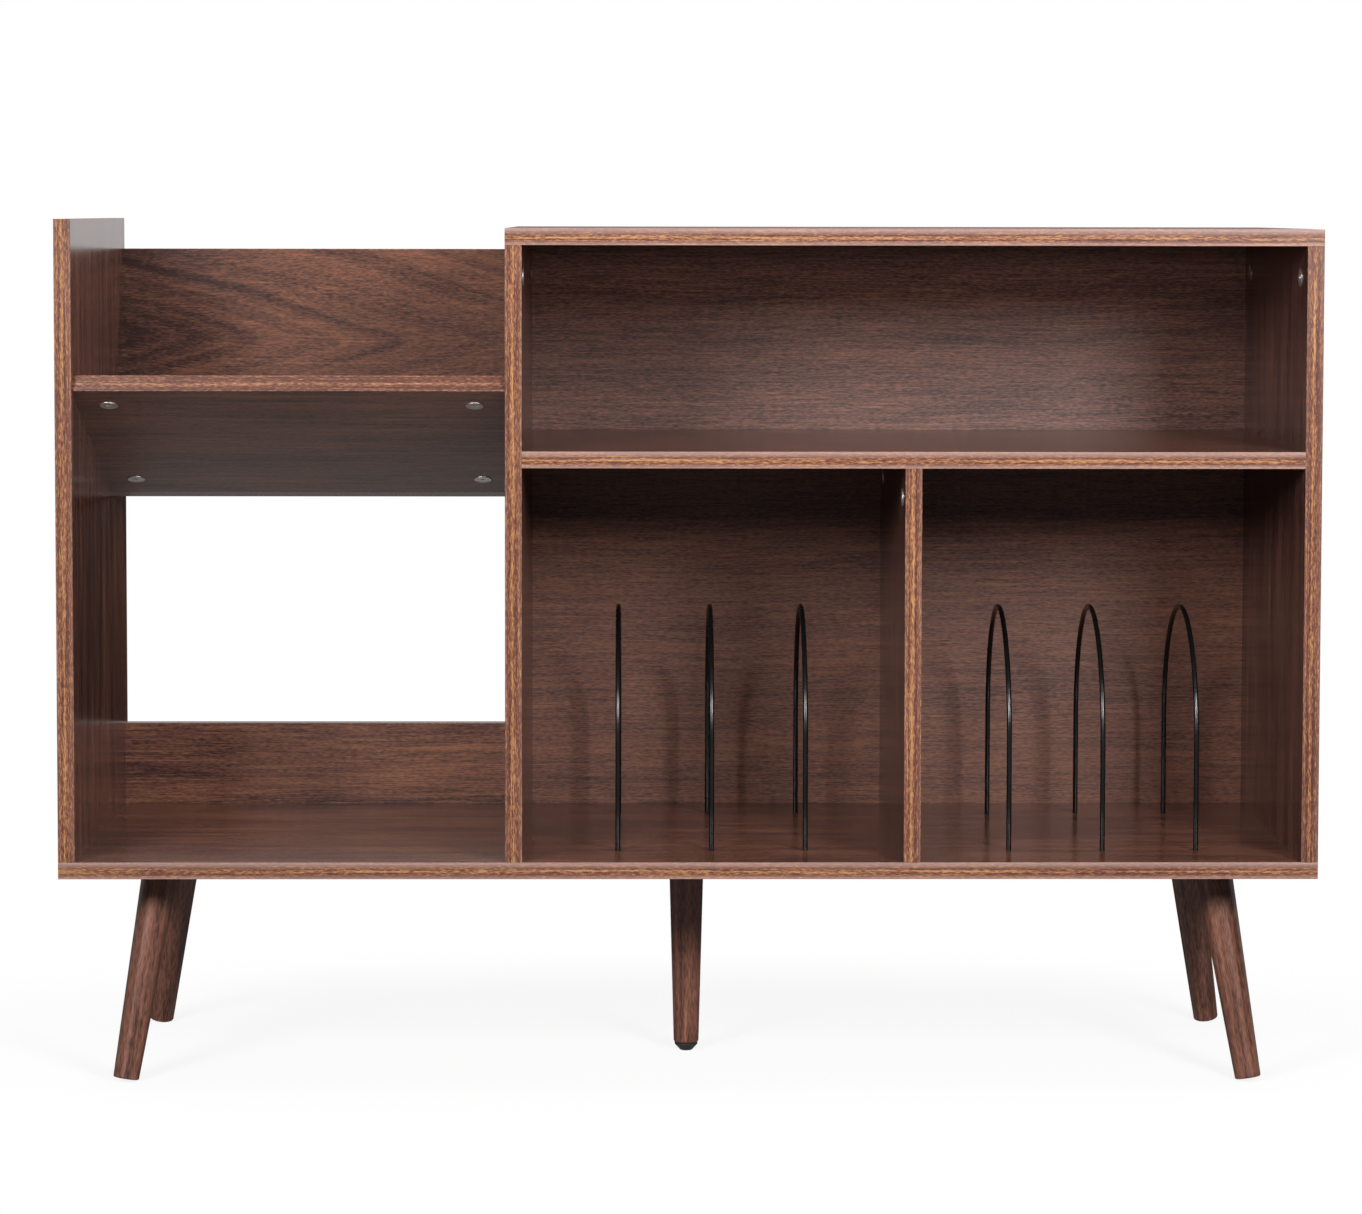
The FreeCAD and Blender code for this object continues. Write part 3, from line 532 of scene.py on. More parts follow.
def printed_edging(name, across, start, ground, highlight_paint, tilt=0.0, satin=0.25):
    """PVC edging with a printed grain, scraped flush: a satin tan band between red-brown sides, with a
    painted highlight along both margins.

    across is the axis over the strip's width, which begins at start, after a turn of tilt about X.
    """
    colours = bpy.context.scene.console_colours
    grain = bpy.context.scene.console_grain
    material, tree, place = start_finish(name)
    lain = add_node(tree, "ShaderNodeMapping", {"Vector": place, "Rotation": (tilt, 0, 0)})
    drift = streaks(tree, lain, (grain.strip_drift,) * 3)
    side = add_node(tree, "ShaderNodeSeparateXYZ", (lain,), output=across)
    share = add_node(tree, "ShaderNodeMapRange", (side, start, start + BOARD))
    band = layered(tree, share, (drift, 0.14))
    band = add_node(tree, "ShaderNodeValToRGB", (band,), greys(BAND_STOPS))
    lines = streaks(tree, lain, drawn(across, grain.strip_wide, grain.strip_long))
    # Printed dashes are about half as wide: drawn coarser to show.
    dashes = streaks(tree, lain, drawn(across, grain.dash_wide, grain.dash_long))
    tone = layered(tree, ground, (band, 0.7), (lines, 1.0), (dashes, 1.6))
    tint = add_node(tree, "ShaderNodeValToRGB", (tone,), wood_stops("edging", GRAIN_STOPS))
    # Painted highlight: both margins are mixed towards a pale pink-grey, standing for light caught on the
    # strip's rounded edges.
    edge = add_node(tree, "ShaderNodeMath", (share, BAND_MIDDLE), operation="SUBTRACT")
    edge = add_node(tree, "ShaderNodeMath", (edge,), operation="ABSOLUTE")
    edge = add_node(tree, "ShaderNodeMapRange", (edge, *HIGHLIGHT_SPAN, 0, highlight_paint))
    tint = add_node(tree, "ShaderNodeMix", {
        SHARE: edge, UNDER: tint, OVER: opaque(colours.edging_painted_highlight)}, **COLOUR_MIX)
    rough = add_node(tree, "ShaderNodeMapRange", (dashes, *NOISE_SPAN, satin + 0.04, satin - 0.04))
    end_finish(tree, dashes, depth=0.05, Base_Color=tint, Roughness=rough, IOR=1.53)
    return material


def stained_leg(name, axis):
    """Turned hardwood with red-brown stain and satin lacquer: straight grain along the leg, small pores."""
    grain = bpy.context.scene.console_grain
    material, tree, place = start_finish(name)
    upright = axis.rotation_difference(UP).to_euler()
    turned = add_node(tree, "ShaderNodeMapping", {"Vector": place, "Rotation": upright})
    lain = swaying(tree, turned, ALONG_Z, grain.leg_sway_long, grain.leg_sway)
    bands = streaks(tree, lain, drawn(ALONG_Z, grain.leg_band_long, grain.leg_band_wide))
    # Real vessels are about 0.3 mm wide: drawn coarser to show.
    vessels = streaks(tree, lain, drawn(ALONG_Z, grain.vessel_long, grain.vessel_wide))
    tone = layered(tree, 0.5, (bands, 1.1), (vessels, 1.2))
    tint = add_node(tree, "ShaderNodeValToRGB", (tone,), wood_stops("leg", GRAIN_STOPS))
    rough = add_node(tree, "ShaderNodeMapRange", (vessels, *NOISE_SPAN, 0.45, 0.34))
    end_finish(tree, vessels, depth=0.04, Base_Color=tint, Roughness=rough, IOR=1.5)
    return material


def plain_finish(name, tint, grit, depth, smooth, dull, **surface):
    """Finish of one colour whose skin is smoother and duller by turns, with a grit in millimetres."""
    material, tree, place = start_finish(name)
    skin = streaks(tree, place, [size * MM for size in grit])
    rough = add_node(tree, "ShaderNodeMapRange", (skin, *NOISE_CORE, smooth, dull))
    tint = getattr(bpy.context.scene.console_colours, tint)
    end_finish(tree, skin, depth, Base_Color=opaque(tint), Roughness=rough, **surface)
    return material


def enamelled_wire():
    """Bent steel wire dipped in black stove enamel: deep black, glossy, faintly uneven."""
    return plain_finish("black_enamelled_wire", "wire", grit=(14, 14, 30), depth=0.03, smooth=0.22, dull=0.3,
                        IOR=1.52)


def die_cast_zinc():
    """Zinc alloy cast in a die and tumbled: bright grey metal with a soft mottle."""
    return plain_finish("die_cast_zinc", "zinc", grit=(1.5, 1.5, 1.5), depth=0.03, smooth=0.36, dull=0.52,
                        Metallic=1)


def plated_steel():
    """Rolled steel screws with bright zinc plating: clean metal with slightly clouded patches."""
    return plain_finish("zinc_plated_steel", "plating", grit=(2.5, 2.5, 2.5), depth=0.02, smooth=0.2,
                        dull=0.36, Metallic=1)


def powder_coat():
    """Pressed steel brackets in black powder coat: near black with a fine pebbled skin."""
    return plain_finish("black_powder_coat", "bracket", grit=(0.9, 0.9, 0.9), depth=0.06, smooth=0.5,
                        dull=0.64)


def moulded_foot():
    """Polypropylene moulded in a spark-eroded tool: black-grey with a dull, fine texture."""
    return plain_finish("moulded_black_polypropylene", "foot", grit=(0.7, 0.7, 0.7), depth=0.05, smooth=0.44,
                        dull=0.58, IOR=1.49)


def turned_brass():
    """Brass insert turned on a lathe: yellow metal with fine rings."""
    return plain_finish("turned_brass", "brass", grit=(12, 12, 0.5), depth=0.03, smooth=0.24, dull=0.38,
                        Metallic=1)


def beech_dowels():
    """Milled beech rod: pale tan with short brown flecks."""
    colours = bpy.context.scene.console_colours
    grain = bpy.context.scene.console_grain
    material, tree, place = start_finish("milled_beech")
    fleck = streaks(tree, place, drawn(ALONG_Z, grain.fleck_high, grain.fleck_wide), detail=3.0)
    share = add_node(tree, "ShaderNodeMapRange", (fleck, 0.35, 0.7))
    tint = add_node(tree, "ShaderNodeMix", {
        SHARE: share, UNDER: opaque(colours.beech), OVER: opaque(colours.chip_dark)}, **COLOUR_MIX)
    end_finish(tree, fleck, depth=0.05, Base_Color=tint, Roughness=0.68)
    return material


def seamless_paper(half_width, half_depth):
    """Matt white background paper with the faintest cloud, that fades out into the white studio."""
    colours = bpy.context.scene.console_colours
    grain = bpy.context.scene.console_grain
    material, tree, place = start_finish("seamless_paper")
    cloud = streaks(tree, place, (grain.paper_cloud,) * 3)
    fade = add_node(tree, "ShaderNodeVectorMath", (place, (1 / half_width, 1 / half_depth, 0)),
                    operation="MULTIPLY")
    fade = add_node(tree, "ShaderNodeTexGradient", (fade,), output="Fac", gradient_type="SPHERICAL")
    fade = add_node(tree, "ShaderNodeMapRange", (fade, 0, PAPER_FADE, 0, PAPER_COVER),
                    interpolation_type="SMOOTHERSTEP")
    rough = add_node(tree, "ShaderNodeMapRange", (cloud, *NOISE_CORE, *PAPER_ROUGH))
    end_finish(tree, cloud, depth=0.1, Base_Color=opaque(colours.paper), Roughness=rough, Alpha=fade)
    return material


def dress(piece, material):
    """Give an object one finish."""
    slots = piece.data.materials
    slots.clear()
    slots.append(material)


def coat(material, *nodes):
    """Give CAD nodes a finish."""
    for node in nodes:
        dress(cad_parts[node], material)


def start_piece():
    """Deselect everything, because operators act on all that is selected."""
    bpy.ops.object.select_all(action="DESELECT")


def take(piece):
    """Select one piece alone and make it the active one."""
    start_piece()
    piece.select_set(True)
    bpy.context.view_layer.objects.active = piece


def edit(piece):
    """Work on one piece in edit mode."""
    take(piece)
    bpy.ops.object.mode_set(mode="EDIT")


def leave_edit():
    """Back to object mode."""
    bpy.ops.object.mode_set(mode="OBJECT")


def start_blank(sides, radius, low, high):
    """Round blank about Z between two heights, in edit mode."""
    start_piece()
    bpy.ops.mesh.primitive_cylinder_add(vertices=sides, radius=radius, depth=high - low,
                                        location=(0, 0, (low + high) / 2))
    blank = bpy.context.object
    bpy.ops.object.transform_apply(location=True)
    edit(blank)
    return blank


def pick(piece, kind, test):
    """Select the faces or edges of a piece in edit mode that pass a test."""
    bpy.ops.mesh.select_mode(type=kind)
    bpy.ops.mesh.select_all(action="DESELECT")
    mesh = bmesh.from_edit_mesh(piece.data)
    for part in (mesh.faces if kind == "FACE" else mesh.edges):
        if test(part):
            part.select_set(True)
    bmesh.update_edit_mesh(piece.data)


def pick_faces(piece, side):
    """Select the faces of a piece that look up, for a side of 1, or down, for -1."""
    pick(piece, "FACE", lambda face: face.normal.z * side > FACING)


def pick_edges(piece, test):
    """Select the edges of a piece whose two ends pass a test."""
    pick(piece, "EDGE", lambda edge: all(test(end.co) for end in edge.verts))


def extrude(height):
    """Draw the picked faces out along Z."""
    bpy.ops.mesh.extrude_region_move(TRANSFORM_OT_translate={"value": (0, 0, height)})


def close_mesh(piece):
    """Merge doubles and turn every face of a piece outwards."""
    edit(piece)
    bpy.ops.mesh.select_all(action="SELECT")
    bpy.ops.mesh.remove_doubles(threshold=DOUBLES)
    bpy.ops.mesh.normals_make_consistent(inside=False)
    leave_edit()


def carve(piece, tool):
    """Cut a tool's shape out of a piece."""
    take(piece)
    bpy.ops.object.modifier_add(type="BOOLEAN")
    boolean = piece.modifiers[-1]
    boolean.operation = "DIFFERENCE"
    boolean.solver = "EXACT"
    boolean.object = tool
    bpy.ops.object.modifier_apply(modifier=boolean.name)
    bpy.data.objects.remove(tool)


def cross_recess(piece, top, reach, width, depth):
    """Cut a driver's tapered cross into the face of a piece at its own Z."""
    for turn in (0, math.pi / 2):
        start_piece()
        bpy.ops.mesh.primitive_cube_add(size=1, location=(0, 0, top), rotation=(0, 0, turn),
                                        scale=(reach, width, 2 * depth))
        arm = bpy.context.object
        edit(arm)
        pick_faces(arm, -1)
        bpy.ops.transform.resize(value=CROSS_TAPER, orient_type="LOCAL")
        leave_edit()
        carve(piece, arm)


def copied_to(piece, places, name):
    """One mesh with a copy of a piece at every place."""
    start_piece()
    for place in places:
        copy = piece.copy()
        copy.data = piece.data.copy()
        copy.data.transform(place)
        bpy.context.collection.objects.link(copy)
        copy.select_set(True)
        bpy.context.view_layer.objects.active = copy
    bpy.data.objects.remove(piece)
    bpy.ops.object.join()
    row = bpy.context.object
    row.name = row.data.name = name
    return row


def fit_piece(piece, body, material, node):
    """Smooth a finished piece, give it its finish and let it stand for its CAD node."""
    take(piece)
    bpy.ops.object.shade_smooth_by_angle(angle=SMOOTH_ANGLE)
    dress(piece, material)
    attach(piece, body)
    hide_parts(node)


def bend_wire(node):
    """Wire bent from a straight rod: up the front leg, round the top and down the rear leg."""
    fittings = bpy.context.scene.console_fittings
    low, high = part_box(node)
    radius = (high.x - low.x) / 2
    axis = (high.x + low.x) / 2
    front = low.y + radius
    rear = high.y - radius
    reach = (rear - front) / 2
    shoulder = high.z - radius - reach
    start_piece()
    bpy.ops.mesh.primitive_circle_add(vertices=fittings.wire_sides, radius=radius, fill_type="NGON",
                                      location=(axis, front, low.z))
    wire = bpy.context.object
    bpy.ops.object.transform_apply(location=True)
    edit(wire)
    bpy.ops.mesh.select_all(action="SELECT")
    extrude(shoulder - low.z)
    bpy.ops.mesh.spin(steps=fittings.wire_steps, angle=math.pi, center=(axis, front + reach, shoulder),
                      axis=(1, 0, 0))
    extrude(low.z - shoulder)
    pick_edges(wire, lambda end: end.z < low.z + TOUCH)
    bpy.ops.mesh.bevel(offset=fittings.wire_bevel, segments=2, affect="EDGES")
    leave_edit()
    close_mesh(wire)
    return wire


def cast_cam():
    """Rimmed cam: round body with a jaw, dished rim, driver's cross and an arrow that points to the seam."""
    fittings = bpy.context.scene.console_fittings
    body = fittings.cam_body
    rim = fittings.cam_rim / 2
    top = fittings.cam_rim_height
    dish = top - CAM_DISH
    jaw = fittings.cam_jaw
    grow = fittings.cam_rim / body
    cam = start_blank(CAM_SIDES, body / 2, -fittings.cam_depth, 0)
    pick_faces(cam, 1)
    extrude(0)
    bpy.ops.transform.resize(value=(grow, grow, 1), center_override=(0, 0, 0))
    extrude(top)
    bpy.ops.mesh.inset(thickness=CAM_LAND)
    bpy.ops.mesh.inset(thickness=CAM_DISH_WALL, depth=-CAM_DISH)
    pick_edges(cam, lambda end: end.z > top - TOUCH and end.xy.length > rim - TOUCH)
    bpy.ops.mesh.bevel(offset=CAM_ROUND, segments=3, affect="EDGES")
    leave_edit()
    cross_recess(cam, dish, *CAM_CROSS)
    start_piece()
    bpy.ops.mesh.primitive_cylinder_add(vertices=3, radius=CAM_ARROW, depth=2 * CAM_ARROW_DEPTH,
                                        location=(CAM_ARROW_SPOT * rim, 0, dish),
                                        rotation=(0, 0, -math.pi / 2))
    carve(cam, bpy.context.object)
    start_piece()
    bpy.ops.mesh.primitive_cube_add(size=1, location=(body / 2, 0, -BOARD / 2), scale=(body + jaw, jaw, jaw))
    carve(cam, bpy.context.object)
    close_mesh(cam)
    return cam


def cam_row(seam, run, inward, facing, spots):
    """Places of the cams along a seam, each with its Z out of the board's face and its X to the seam."""
    setback = bpy.context.scene.console_fittings.cam_setback
    turn = Matrix((-inward, facing.cross(-inward), facing)).transposed().to_4x4()
    mouth = seam + inward * setback + facing * BOARD / 2
    return [Matrix.Translation(mouth + run * spot) @ turn for spot in spots]


def rack_frame():
    """Front edge of the rack's seat, and the directions down the seat and up the backrest."""
    fittings = bpy.context.scene.console_fittings
    slope = math.sin(fittings.rack_tilt)
    level = math.cos(fittings.rack_tilt)
    down_seat = Vector((0, level, -slope))
    up_backrest = Vector((0, slope, level))
    low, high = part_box("rack_seat")
    seat_edge = Vector((0, low.y + BOARD * slope, high.z)) - down_seat * fittings.edging
    return seat_edge, down_seat, up_backrest


def cam_places():
    """Places of all cams, from the boards they sit in."""
    fittings = bpy.context.scene.console_fittings
    partition, right_end, divider, shelf, seat, rail = [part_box(node) for node in (
        "rack_partition", "right_end_board", "lower_bay_divider", "middle_shelf", "rack_seat", "rear_rail")]
    spots = (fittings.cam_from_front, REAR - FRONT - fittings.cam_from_rear)
    places = []
    for (low, high), facing in ((partition, RIGHTWARD), (right_end, LEFTWARD), (divider, LEFTWARD)):
        seam = Vector(((low.x + high.x) / 2, FRONT, high.z))
        places += cam_row(seam, BACKWARD, DOWN, facing, spots)
    for end, inward in ((shelf[0].x, RIGHTWARD), (shelf[1].x, LEFTWARD)):
        seam = Vector((end, FRONT, (shelf[0].z + shelf[1].z) / 2))
        places += cam_row(seam, BACKWARD, inward, DOWN, spots)
    seat_edge, down_seat, up_backrest = rack_frame()
    inset = fittings.rack_cam_inset
    for end, inward in ((seat[0].x, RIGHTWARD), (seat[1].x, LEFTWARD)):
        side = RIGHTWARD * end
        seat_seam = side + seat_edge - up_backrest * BOARD / 2
        backrest_seam = side + seat_edge + down_seat * (fittings.seat_length + BOARD / 2)
        rail_seam = Vector((end, (rail[0].y + rail[1].y) / 2, rail[1].z + fittings.edging))
        places += cam_row(seat_seam, down_seat, inward, -up_backrest, (inset, fittings.seat_length - inset))
        places += cam_row(backrest_seam, up_backrest, inward, down_seat,
                          (inset, fittings.backrest_height - inset))
        places += cam_row(rail_seam, DOWN, inward, BACKWARD, (fittings.rail_cam_drop,))
    return places


def pan_head_screw():
    """Bracket screw with a domed head, cross, shank and point, its Z out of the head and zero under it."""
    fittings = bpy.context.scene.console_fittings
    low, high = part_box("bracket_screws")
    radius = fittings.screw_head / 2
    head = fittings.screw_head_height
    shank = fittings.screw_shank / 2
    point = 2 * shank
    screw = start_blank(SCREW_SIDES, radius, 0, head)
    pick_edges(screw, lambda end: end.z > head - TOUCH)
    bpy.ops.mesh.bevel(offset=SCREW_DOME * head, segments=5, affect="EDGES")
    pick_faces(screw, -1)
    bpy.ops.mesh.inset(thickness=radius - shank)
    extrude(point - (high.z - low.z - head))
    extrude(-point)
    bpy.ops.transform.resize(value=(SCREW_POINT, SCREW_POINT, 1), center_override=(0, 0, 0))
    leave_edit()
    cross_recess(screw, head, *SCREW_CROSS)
    close_mesh(screw)
    return screw


def screw_places():
    """Places of the bracket screws, heads down under the bracket plates."""
    fittings = bpy.context.scene.console_fittings
    half = fittings.screw_pitch / 2
    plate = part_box("bracket_screws")[0].z + fittings.screw_head_height
    places = []
    for leg in LEGS:
        low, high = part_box(leg + "_bracket")
        middle = (low + high) / 2
        for side_x in (-half, half):
            for side_y in (-half, half):
                places.append(Matrix.Translation((middle.x + side_x, middle.y + side_y, plate)) @ HEAD_DOWN)
    return places


def socket_screw():
    """Base screw with a hexagon socket, shank and thread, its Z out of the head and zero at its face."""
    fittings = bpy.context.scene.console_fittings
    low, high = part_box("base_screws")
    head = fittings.base_head_height
    radius = fittings.base_head / 2
    shank = fittings.base_shank / 2
    thread = fittings.base_thread / 2
    screw = start_blank(SCREW_SIDES, radius, -head, 0)
    pick_edges(screw, lambda end: end.z > -TOUCH)
    bpy.ops.mesh.bevel(offset=BASE_ROUND, segments=2, affect="EDGES")
    pick_faces(screw, -1)
    bpy.ops.mesh.inset(thickness=radius - shank)
    extrude(head - BOARD)
    bpy.ops.mesh.inset(thickness=shank - thread)
    extrude(BOARD - (high.z - low.z))
    leave_edit()
    start_piece()
    bpy.ops.mesh.primitive_cylinder_add(vertices=6, radius=BASE_SOCKET, depth=2 * BASE_SOCKET_DEPTH)
    carve(screw, bpy.context.object)
    close_mesh(screw)
    return screw


def base_screw_places():
    """Places of the base screws, heads down in the bottom board, two under each upright."""
    inset = bpy.context.scene.console_fittings.base_inset
    places = []
    for upright in LEFT_UPRIGHTS + RIGHT_UPRIGHTS:
        low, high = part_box(upright)
        for spot in (FRONT + inset, REAR - inset):
            places.append(Matrix.Translation(((low.x + high.x) / 2, spot, UNDERSIDE)) @ HEAD_DOWN)
    return places


def leg_axis(leg):
    """Direction up a leg, from the middle of its box to the middle of its bracket's box."""
    middle, top = [(low + high) / 2 for low, high in (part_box(leg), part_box(leg + "_bracket"))]
    return (top - middle).normalized()


def softbox(name, place, target, size, power, glint=True):
    """Soft area light that faces a target; without glint it leaves no highlight."""
    start_piece()
    bpy.ops.object.light_add(type="AREA", location=place)
    lamp = bpy.context.object
    lamp.name = name
    lamp.rotation_euler = (target - place).to_track_quat("-Z", "Y").to_euler()
    lamp.data.shape = "RECTANGLE"
    lamp.data.size, lamp.data.size_y = size
    lamp.data.energy = power
    lamp.visible_camera = False
    lamp.visible_glossy = glint


def light_studio(stage):
    """White backdrop for the camera; for light, a pale wall behind the console and a dim front."""
    world = bpy.data.worlds.new("studio")
    bpy.context.scene.world = world
    world.use_nodes = True
    tree = world.node_tree
    tree.nodes.clear()
    heading = add_node(tree, "ShaderNodeTexCoord", output="Generated")
    deep = add_node(tree, "ShaderNodeSeparateXYZ", (heading,), output="Y")
    high = add_node(tree, "ShaderNodeSeparateXYZ", (heading,), output="Z")
    rear = add_node(tree, "ShaderNodeMapRange", (deep, *WALL_SIDES))
    # From straight down to straight up: lit floor, dark far edge, bright foot of the wall, dimmer wall.
    wall = add_node(tree, "ShaderNodeMapRange", (high, -1, 1))
    wall = add_node(tree, "ShaderNodeValToRGB", (wall,), greys((
        (0.0, stage.room), (0.2, stage.room), (0.33, 0), (0.483, 0), (0.49, stage.wall), (0.53, stage.wall),
        (0.6, stage.room), (1.0, stage.room))))
    near = add_node(tree, "ShaderNodeMapRange", (high, *APRON_EDGE, stage.apron, stage.studio))
    light = add_node(tree, "ShaderNodeMapRange", (rear, 0, 1, near, wall))
    seen = add_node(tree, "ShaderNodeLightPath", output="Is Camera Ray")
    strength = add_node(tree, "ShaderNodeMath", (light, seen), operation="MAXIMUM")
    sky = add_node(tree, "ShaderNodeBackground", ((1, 1, 1, 1), strength))
    add_node(tree, "ShaderNodeOutputWorld", {"Surface": sky})


def set_camera(stage):
    """Camera at the photograph's angle."""
    lens = bpy.data.cameras.new("product_camera")
    lens.sensor_fit = "HORIZONTAL"
    lens.sensor_width = SENSOR_WIDTH
    lens.lens = stage.lens
    lens.shift_x, lens.shift_y = stage.shift
    camera = bpy.data.objects.new("product_camera", lens)
    bpy.context.collection.objects.link(camera)
    pitch, roll, yaw = stage.camera_turn
    turn = Matrix.Rotation(yaw, 4, "Z") @ Matrix.Rotation(pitch, 4, "X") @ Matrix.Rotation(roll, 4, "Y")
    forward = Matrix.Rotation(math.pi / 2, 4, "X")
    camera.matrix_world = Matrix.Translation(stage.camera_place) @ turn @ forward
    bpy.context.scene.camera = camera


class AUDIO_CONSOLE_OT_finish_boards(bpy.types.Operator):
    """Walnut foil on the boards, along the boards that lie and up the boards that stand"""
    bl_idname = "audio_console.finish_boards"
    bl_label = "Finish boards"

    def execute(self, context):
        for finish, run, ground, satin, boards in FOIL_BOARDS:
            coat(walnut_foil_on_board(finish, run, ground, satin), *boards)
        coat(figured_foil_on_board("walnut_foil_figured", heart_ground=0.22, ground=0.45, satin=0.34),
             "rack_backrest")
        return {"FINISHED"}


class AUDIO_CONSOLE_OT_finish_back_sheet(bpy.types.Operator):
    """Walnut foil on the front of the thin back sheet, bare hardboard behind"""
    bl_idname = "audio_console.finish_back_sheet"
    bl_label = "Finish back sheet"

    def execute(self, context):
        coat(walnut_foil_on_sheet("walnut_foil_hardboard", low_ground=0.54, shaded_top_ground=0.42, satin=0.53),
             "back_sheet")
        return {"FINISHED"}


class AUDIO_CONSOLE_OT_finish_edging(bpy.types.Operator):
    """Printed grain along every edging strip"""
    bl_idname = "audio_console.finish_edging"
    bl_label = "Finish edging"

    def execute(self, context):
        for across, ground, highlight_paint, strips in STRAIGHT_EDGINGS:
            for strip in strips:
                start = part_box(strip)[0][across]
                coat(printed_edging("printed_" + strip, across, start, ground, highlight_paint), strip)
        fittings = context.scene.console_fittings
        tilt = fittings.rack_tilt
        seat_edge, down_seat, up_backrest = rack_frame()
        seat_start = seat_edge.dot(up_backrest) - BOARD
        backrest_start = seat_edge.dot(down_seat) + fittings.seat_length
        # The seat's strip looks up into the lights, so it is more matt, and its ground is darker: painted
        # shade against the sheen it catches.
        coat(printed_edging("printed_rack_seat_edging", ALONG_Z, seat_start, ground=0.36, highlight_paint=0, tilt=tilt,
                            satin=0.4), "rack_seat_edging")
        coat(printed_edging("printed_rack_backrest_edging", ALONG_Y, backrest_start, ground=0.42, highlight_paint=0,
                            tilt=tilt), "rack_backrest_edging")
        return {"FINISHED"}


class AUDIO_CONSOLE_OT_finish_legs(bpy.types.Operator):
    """Stained wood with its grain along each leg"""
    bl_idname = "audio_console.finish_legs"
    bl_label = "Finish legs"

    def execute(self, context):
        for leg in LEGS:
            coat(stained_leg("stained_wood_" + leg, leg_axis(leg)), leg)
        return {"FINISHED"}


class AUDIO_CONSOLE_OT_finish_hardware(bpy.types.Operator):
    """Brackets, bolts, dowels and the levelling foot"""
    bl_idname = "audio_console.finish_hardware"
    bl_label = "Finish hardware"

    def execute(self, context):
        coat(powder_coat(), *[leg + "_bracket" for leg in LEGS])
        coat(die_cast_zinc(), "cam_locks", "cam_bolts")
        coat(plated_steel(), "leg_hanger_bolts", "leveller_stud", "bracket_screws", "base_screws")
        coat(beech_dowels(), "wood_dowels")
        coat(moulded_foot(), "leveller_pad")
        coat(turned_brass(), "leveller_insert")
        return {"FINISHED"}


class AUDIO_CONSOLE_OT_bend_wires(bpy.types.Operator):
    """Six bent wire record dividers"""
    bl_idname = "audio_console.bend_wires"
    bl_label = "Bend wire dividers"

    def execute(self, context):
        enamel = enamelled_wire()
        first = bend_wire(WIRES[0])
        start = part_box(WIRES[0])[0]
        for node in WIRES[1:]:
            wire = first.copy()
            wire.data = first.data.copy()
            wire.data.transform(Matrix.Translation(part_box(node)[0] - start))
            wire.name = wire.data.name = "bent_" + node
            context.collection.objects.link(wire)
            fit_piece(wire, node + "_body", enamel, node)
        first.name = first.data.name = "bent_" + WIRES[0]
        fit_piece(first, WIRES[0] + "_body", enamel, WIRES[0])
        coat(enamel, *WIRES)
        return {"FINISHED"}


class AUDIO_CONSOLE_OT_cast_cams(bpy.types.Operator):
    """Rimmed cam locks of the cabinet, the rack and the rail"""
    bl_idname = "audio_console.cast_cams"
    bl_label = "Cast cam locks"

    def execute(self, context):
        cams = copied_to(cast_cam(), cam_places(), "cast_cam_locks")
        fit_piece(cams, "console", bpy.data.materials["die_cast_zinc"], "cam_locks")
        return {"FINISHED"}


class AUDIO_CONSOLE_OT_drive_screws(bpy.types.Operator):
    """Screws of the leg brackets and of the bottom board"""
    bl_idname = "audio_console.drive_screws"
    bl_label = "Drive screws"

    def execute(self, context):
        steel = bpy.data.materials["zinc_plated_steel"]
        pan_heads = copied_to(pan_head_screw(), screw_places(), "pan_head_screws")
        fit_piece(pan_heads, "console", steel, "bracket_screws")
        socket_heads = copied_to(socket_screw(), base_screw_places(), "socket_head_screws")
        fit_piece(socket_heads, "console", steel, "base_screws")
        return {"FINISHED"}


class AUDIO_CONSOLE_OT_set_stage(bpy.types.Operator):
    """Paper floor, soft studio light and the camera at the photograph's angle"""
    bl_idname = "audio_console.set_stage"
    bl_label = "Set stage"

    def execute(self, context):
        stage = context.scene.console_stage
        start_piece()
        bpy.ops.mesh.primitive_circle_add(vertices=PAPER_SIDES, radius=1, fill_type="NGON")
        floor = context.object
        floor.name = "paper_floor"
        reach = Matrix.Diagonal((*stage.floor_reach, 1, 1))
        floor.data.transform(Matrix.Translation(DOWN * PAPER_DROP) @ reach)
        dress(floor, seamless_paper(*stage.floor_reach))
        middle = (CAD_BOX[0] + CAD_BOX[1]) / 2
        softbox("left_softbox", stage.left_light, middle, stage.left_size, stage.left_power)
        softbox("right_softbox", stage.right_light, middle, stage.right_size, stage.right_power)
        softbox("strip_softbox", stage.strip_light, stage.strip_light + BACKWARD, stage.strip_size,
                stage.strip_power, glint=False)
        softbox("overhead_softbox", stage.overhead_light, stage.overhead_light + DOWN, stage.overhead_size,
                stage.overhead_power)
        light_studio(stage)
        set_camera(stage)
        context.scene.view_settings.view_transform = "Standard"
        return {"FINISHED"}


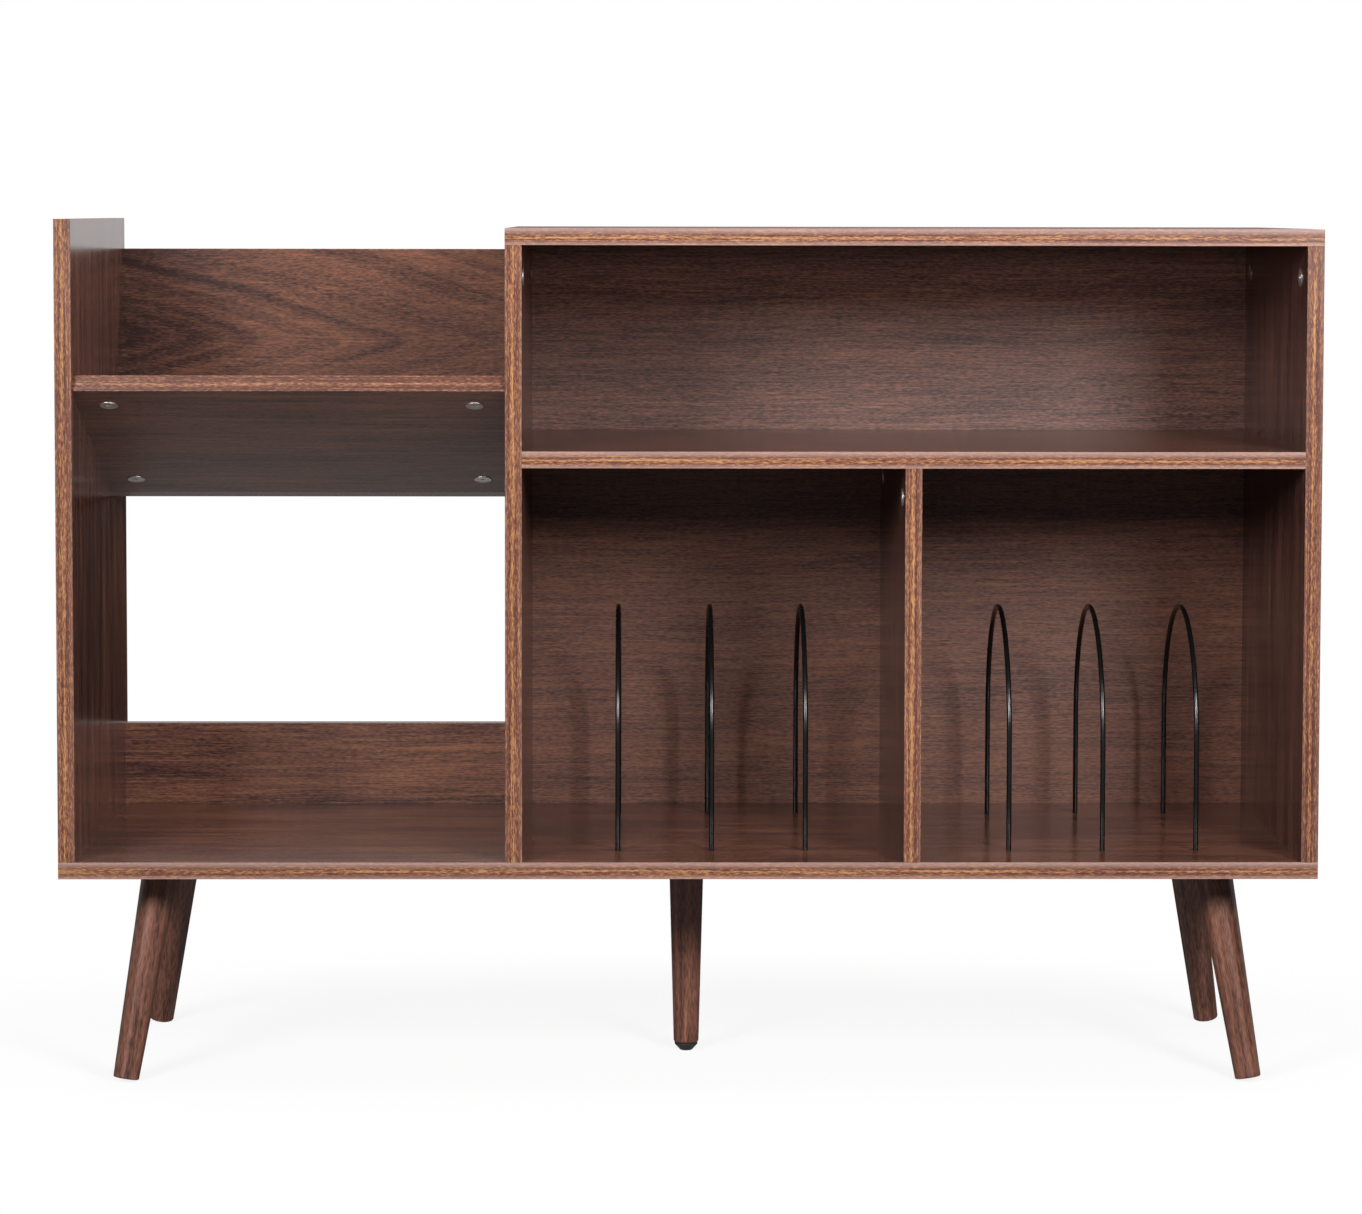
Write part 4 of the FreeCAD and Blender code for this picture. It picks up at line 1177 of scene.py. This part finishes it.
class AUDIO_CONSOLE_PT_builder(bpy.types.Panel):
    """Steps and settings of the console"""
    bl_label = "Audio console"
    bl_idname = "AUDIO_CONSOLE_PT_builder"
    bl_space_type = "VIEW_3D"
    bl_region_type = "UI"
    bl_category = "Console"

    def draw(self, context):
        for operator in OPERATORS:
            self.layout.operator(operator.bl_idname)
        for group in PROPERTY_GROUPS:
            settings = getattr(context.scene, group)
            box = self.layout.box()
            for name in settings.__annotations__:
                box.prop(settings, name)


PROPERTY_GROUPS = {
    "console_colours": ConsoleColours,
    "console_grain": ConsoleGrain,
    "console_fittings": ConsoleFittings,
    "console_stage": ConsoleStage,
}
OPERATORS = (
    AUDIO_CONSOLE_OT_finish_boards,
    AUDIO_CONSOLE_OT_finish_back_sheet,
    AUDIO_CONSOLE_OT_finish_edging,
    AUDIO_CONSOLE_OT_finish_legs,
    AUDIO_CONSOLE_OT_finish_hardware,
    AUDIO_CONSOLE_OT_bend_wires,
    AUDIO_CONSOLE_OT_cast_cams,
    AUDIO_CONSOLE_OT_drive_screws,
    AUDIO_CONSOLE_OT_set_stage,
)


def register():
    """Register the classes and hang the settings on the scene."""
    for group, settings in PROPERTY_GROUPS.items():
        bpy.utils.register_class(settings)
        setattr(bpy.types.Scene, group, PointerProperty(type=settings))
    for kind in (*OPERATORS, AUDIO_CONSOLE_PT_builder):
        bpy.utils.register_class(kind)


def unregister():
    """Undo register."""
    for kind in (AUDIO_CONSOLE_PT_builder, *reversed(OPERATORS)):
        bpy.utils.unregister_class(kind)
    for group, settings in PROPERTY_GROUPS.items():
        delattr(bpy.types.Scene, group)
        bpy.utils.unregister_class(settings)


def main():
    """Finish the console step by step."""
    register()
    bpy.ops.audio_console.finish_boards()
    bpy.ops.audio_console.finish_back_sheet()
    bpy.ops.audio_console.finish_edging()
    bpy.ops.audio_console.finish_legs()
    bpy.ops.audio_console.finish_hardware()
    bpy.ops.audio_console.bend_wires()
    bpy.ops.audio_console.cast_cams()
    bpy.ops.audio_console.drive_screws()
    bpy.ops.audio_console.set_stage()


if __name__ == "__main__":
    main()
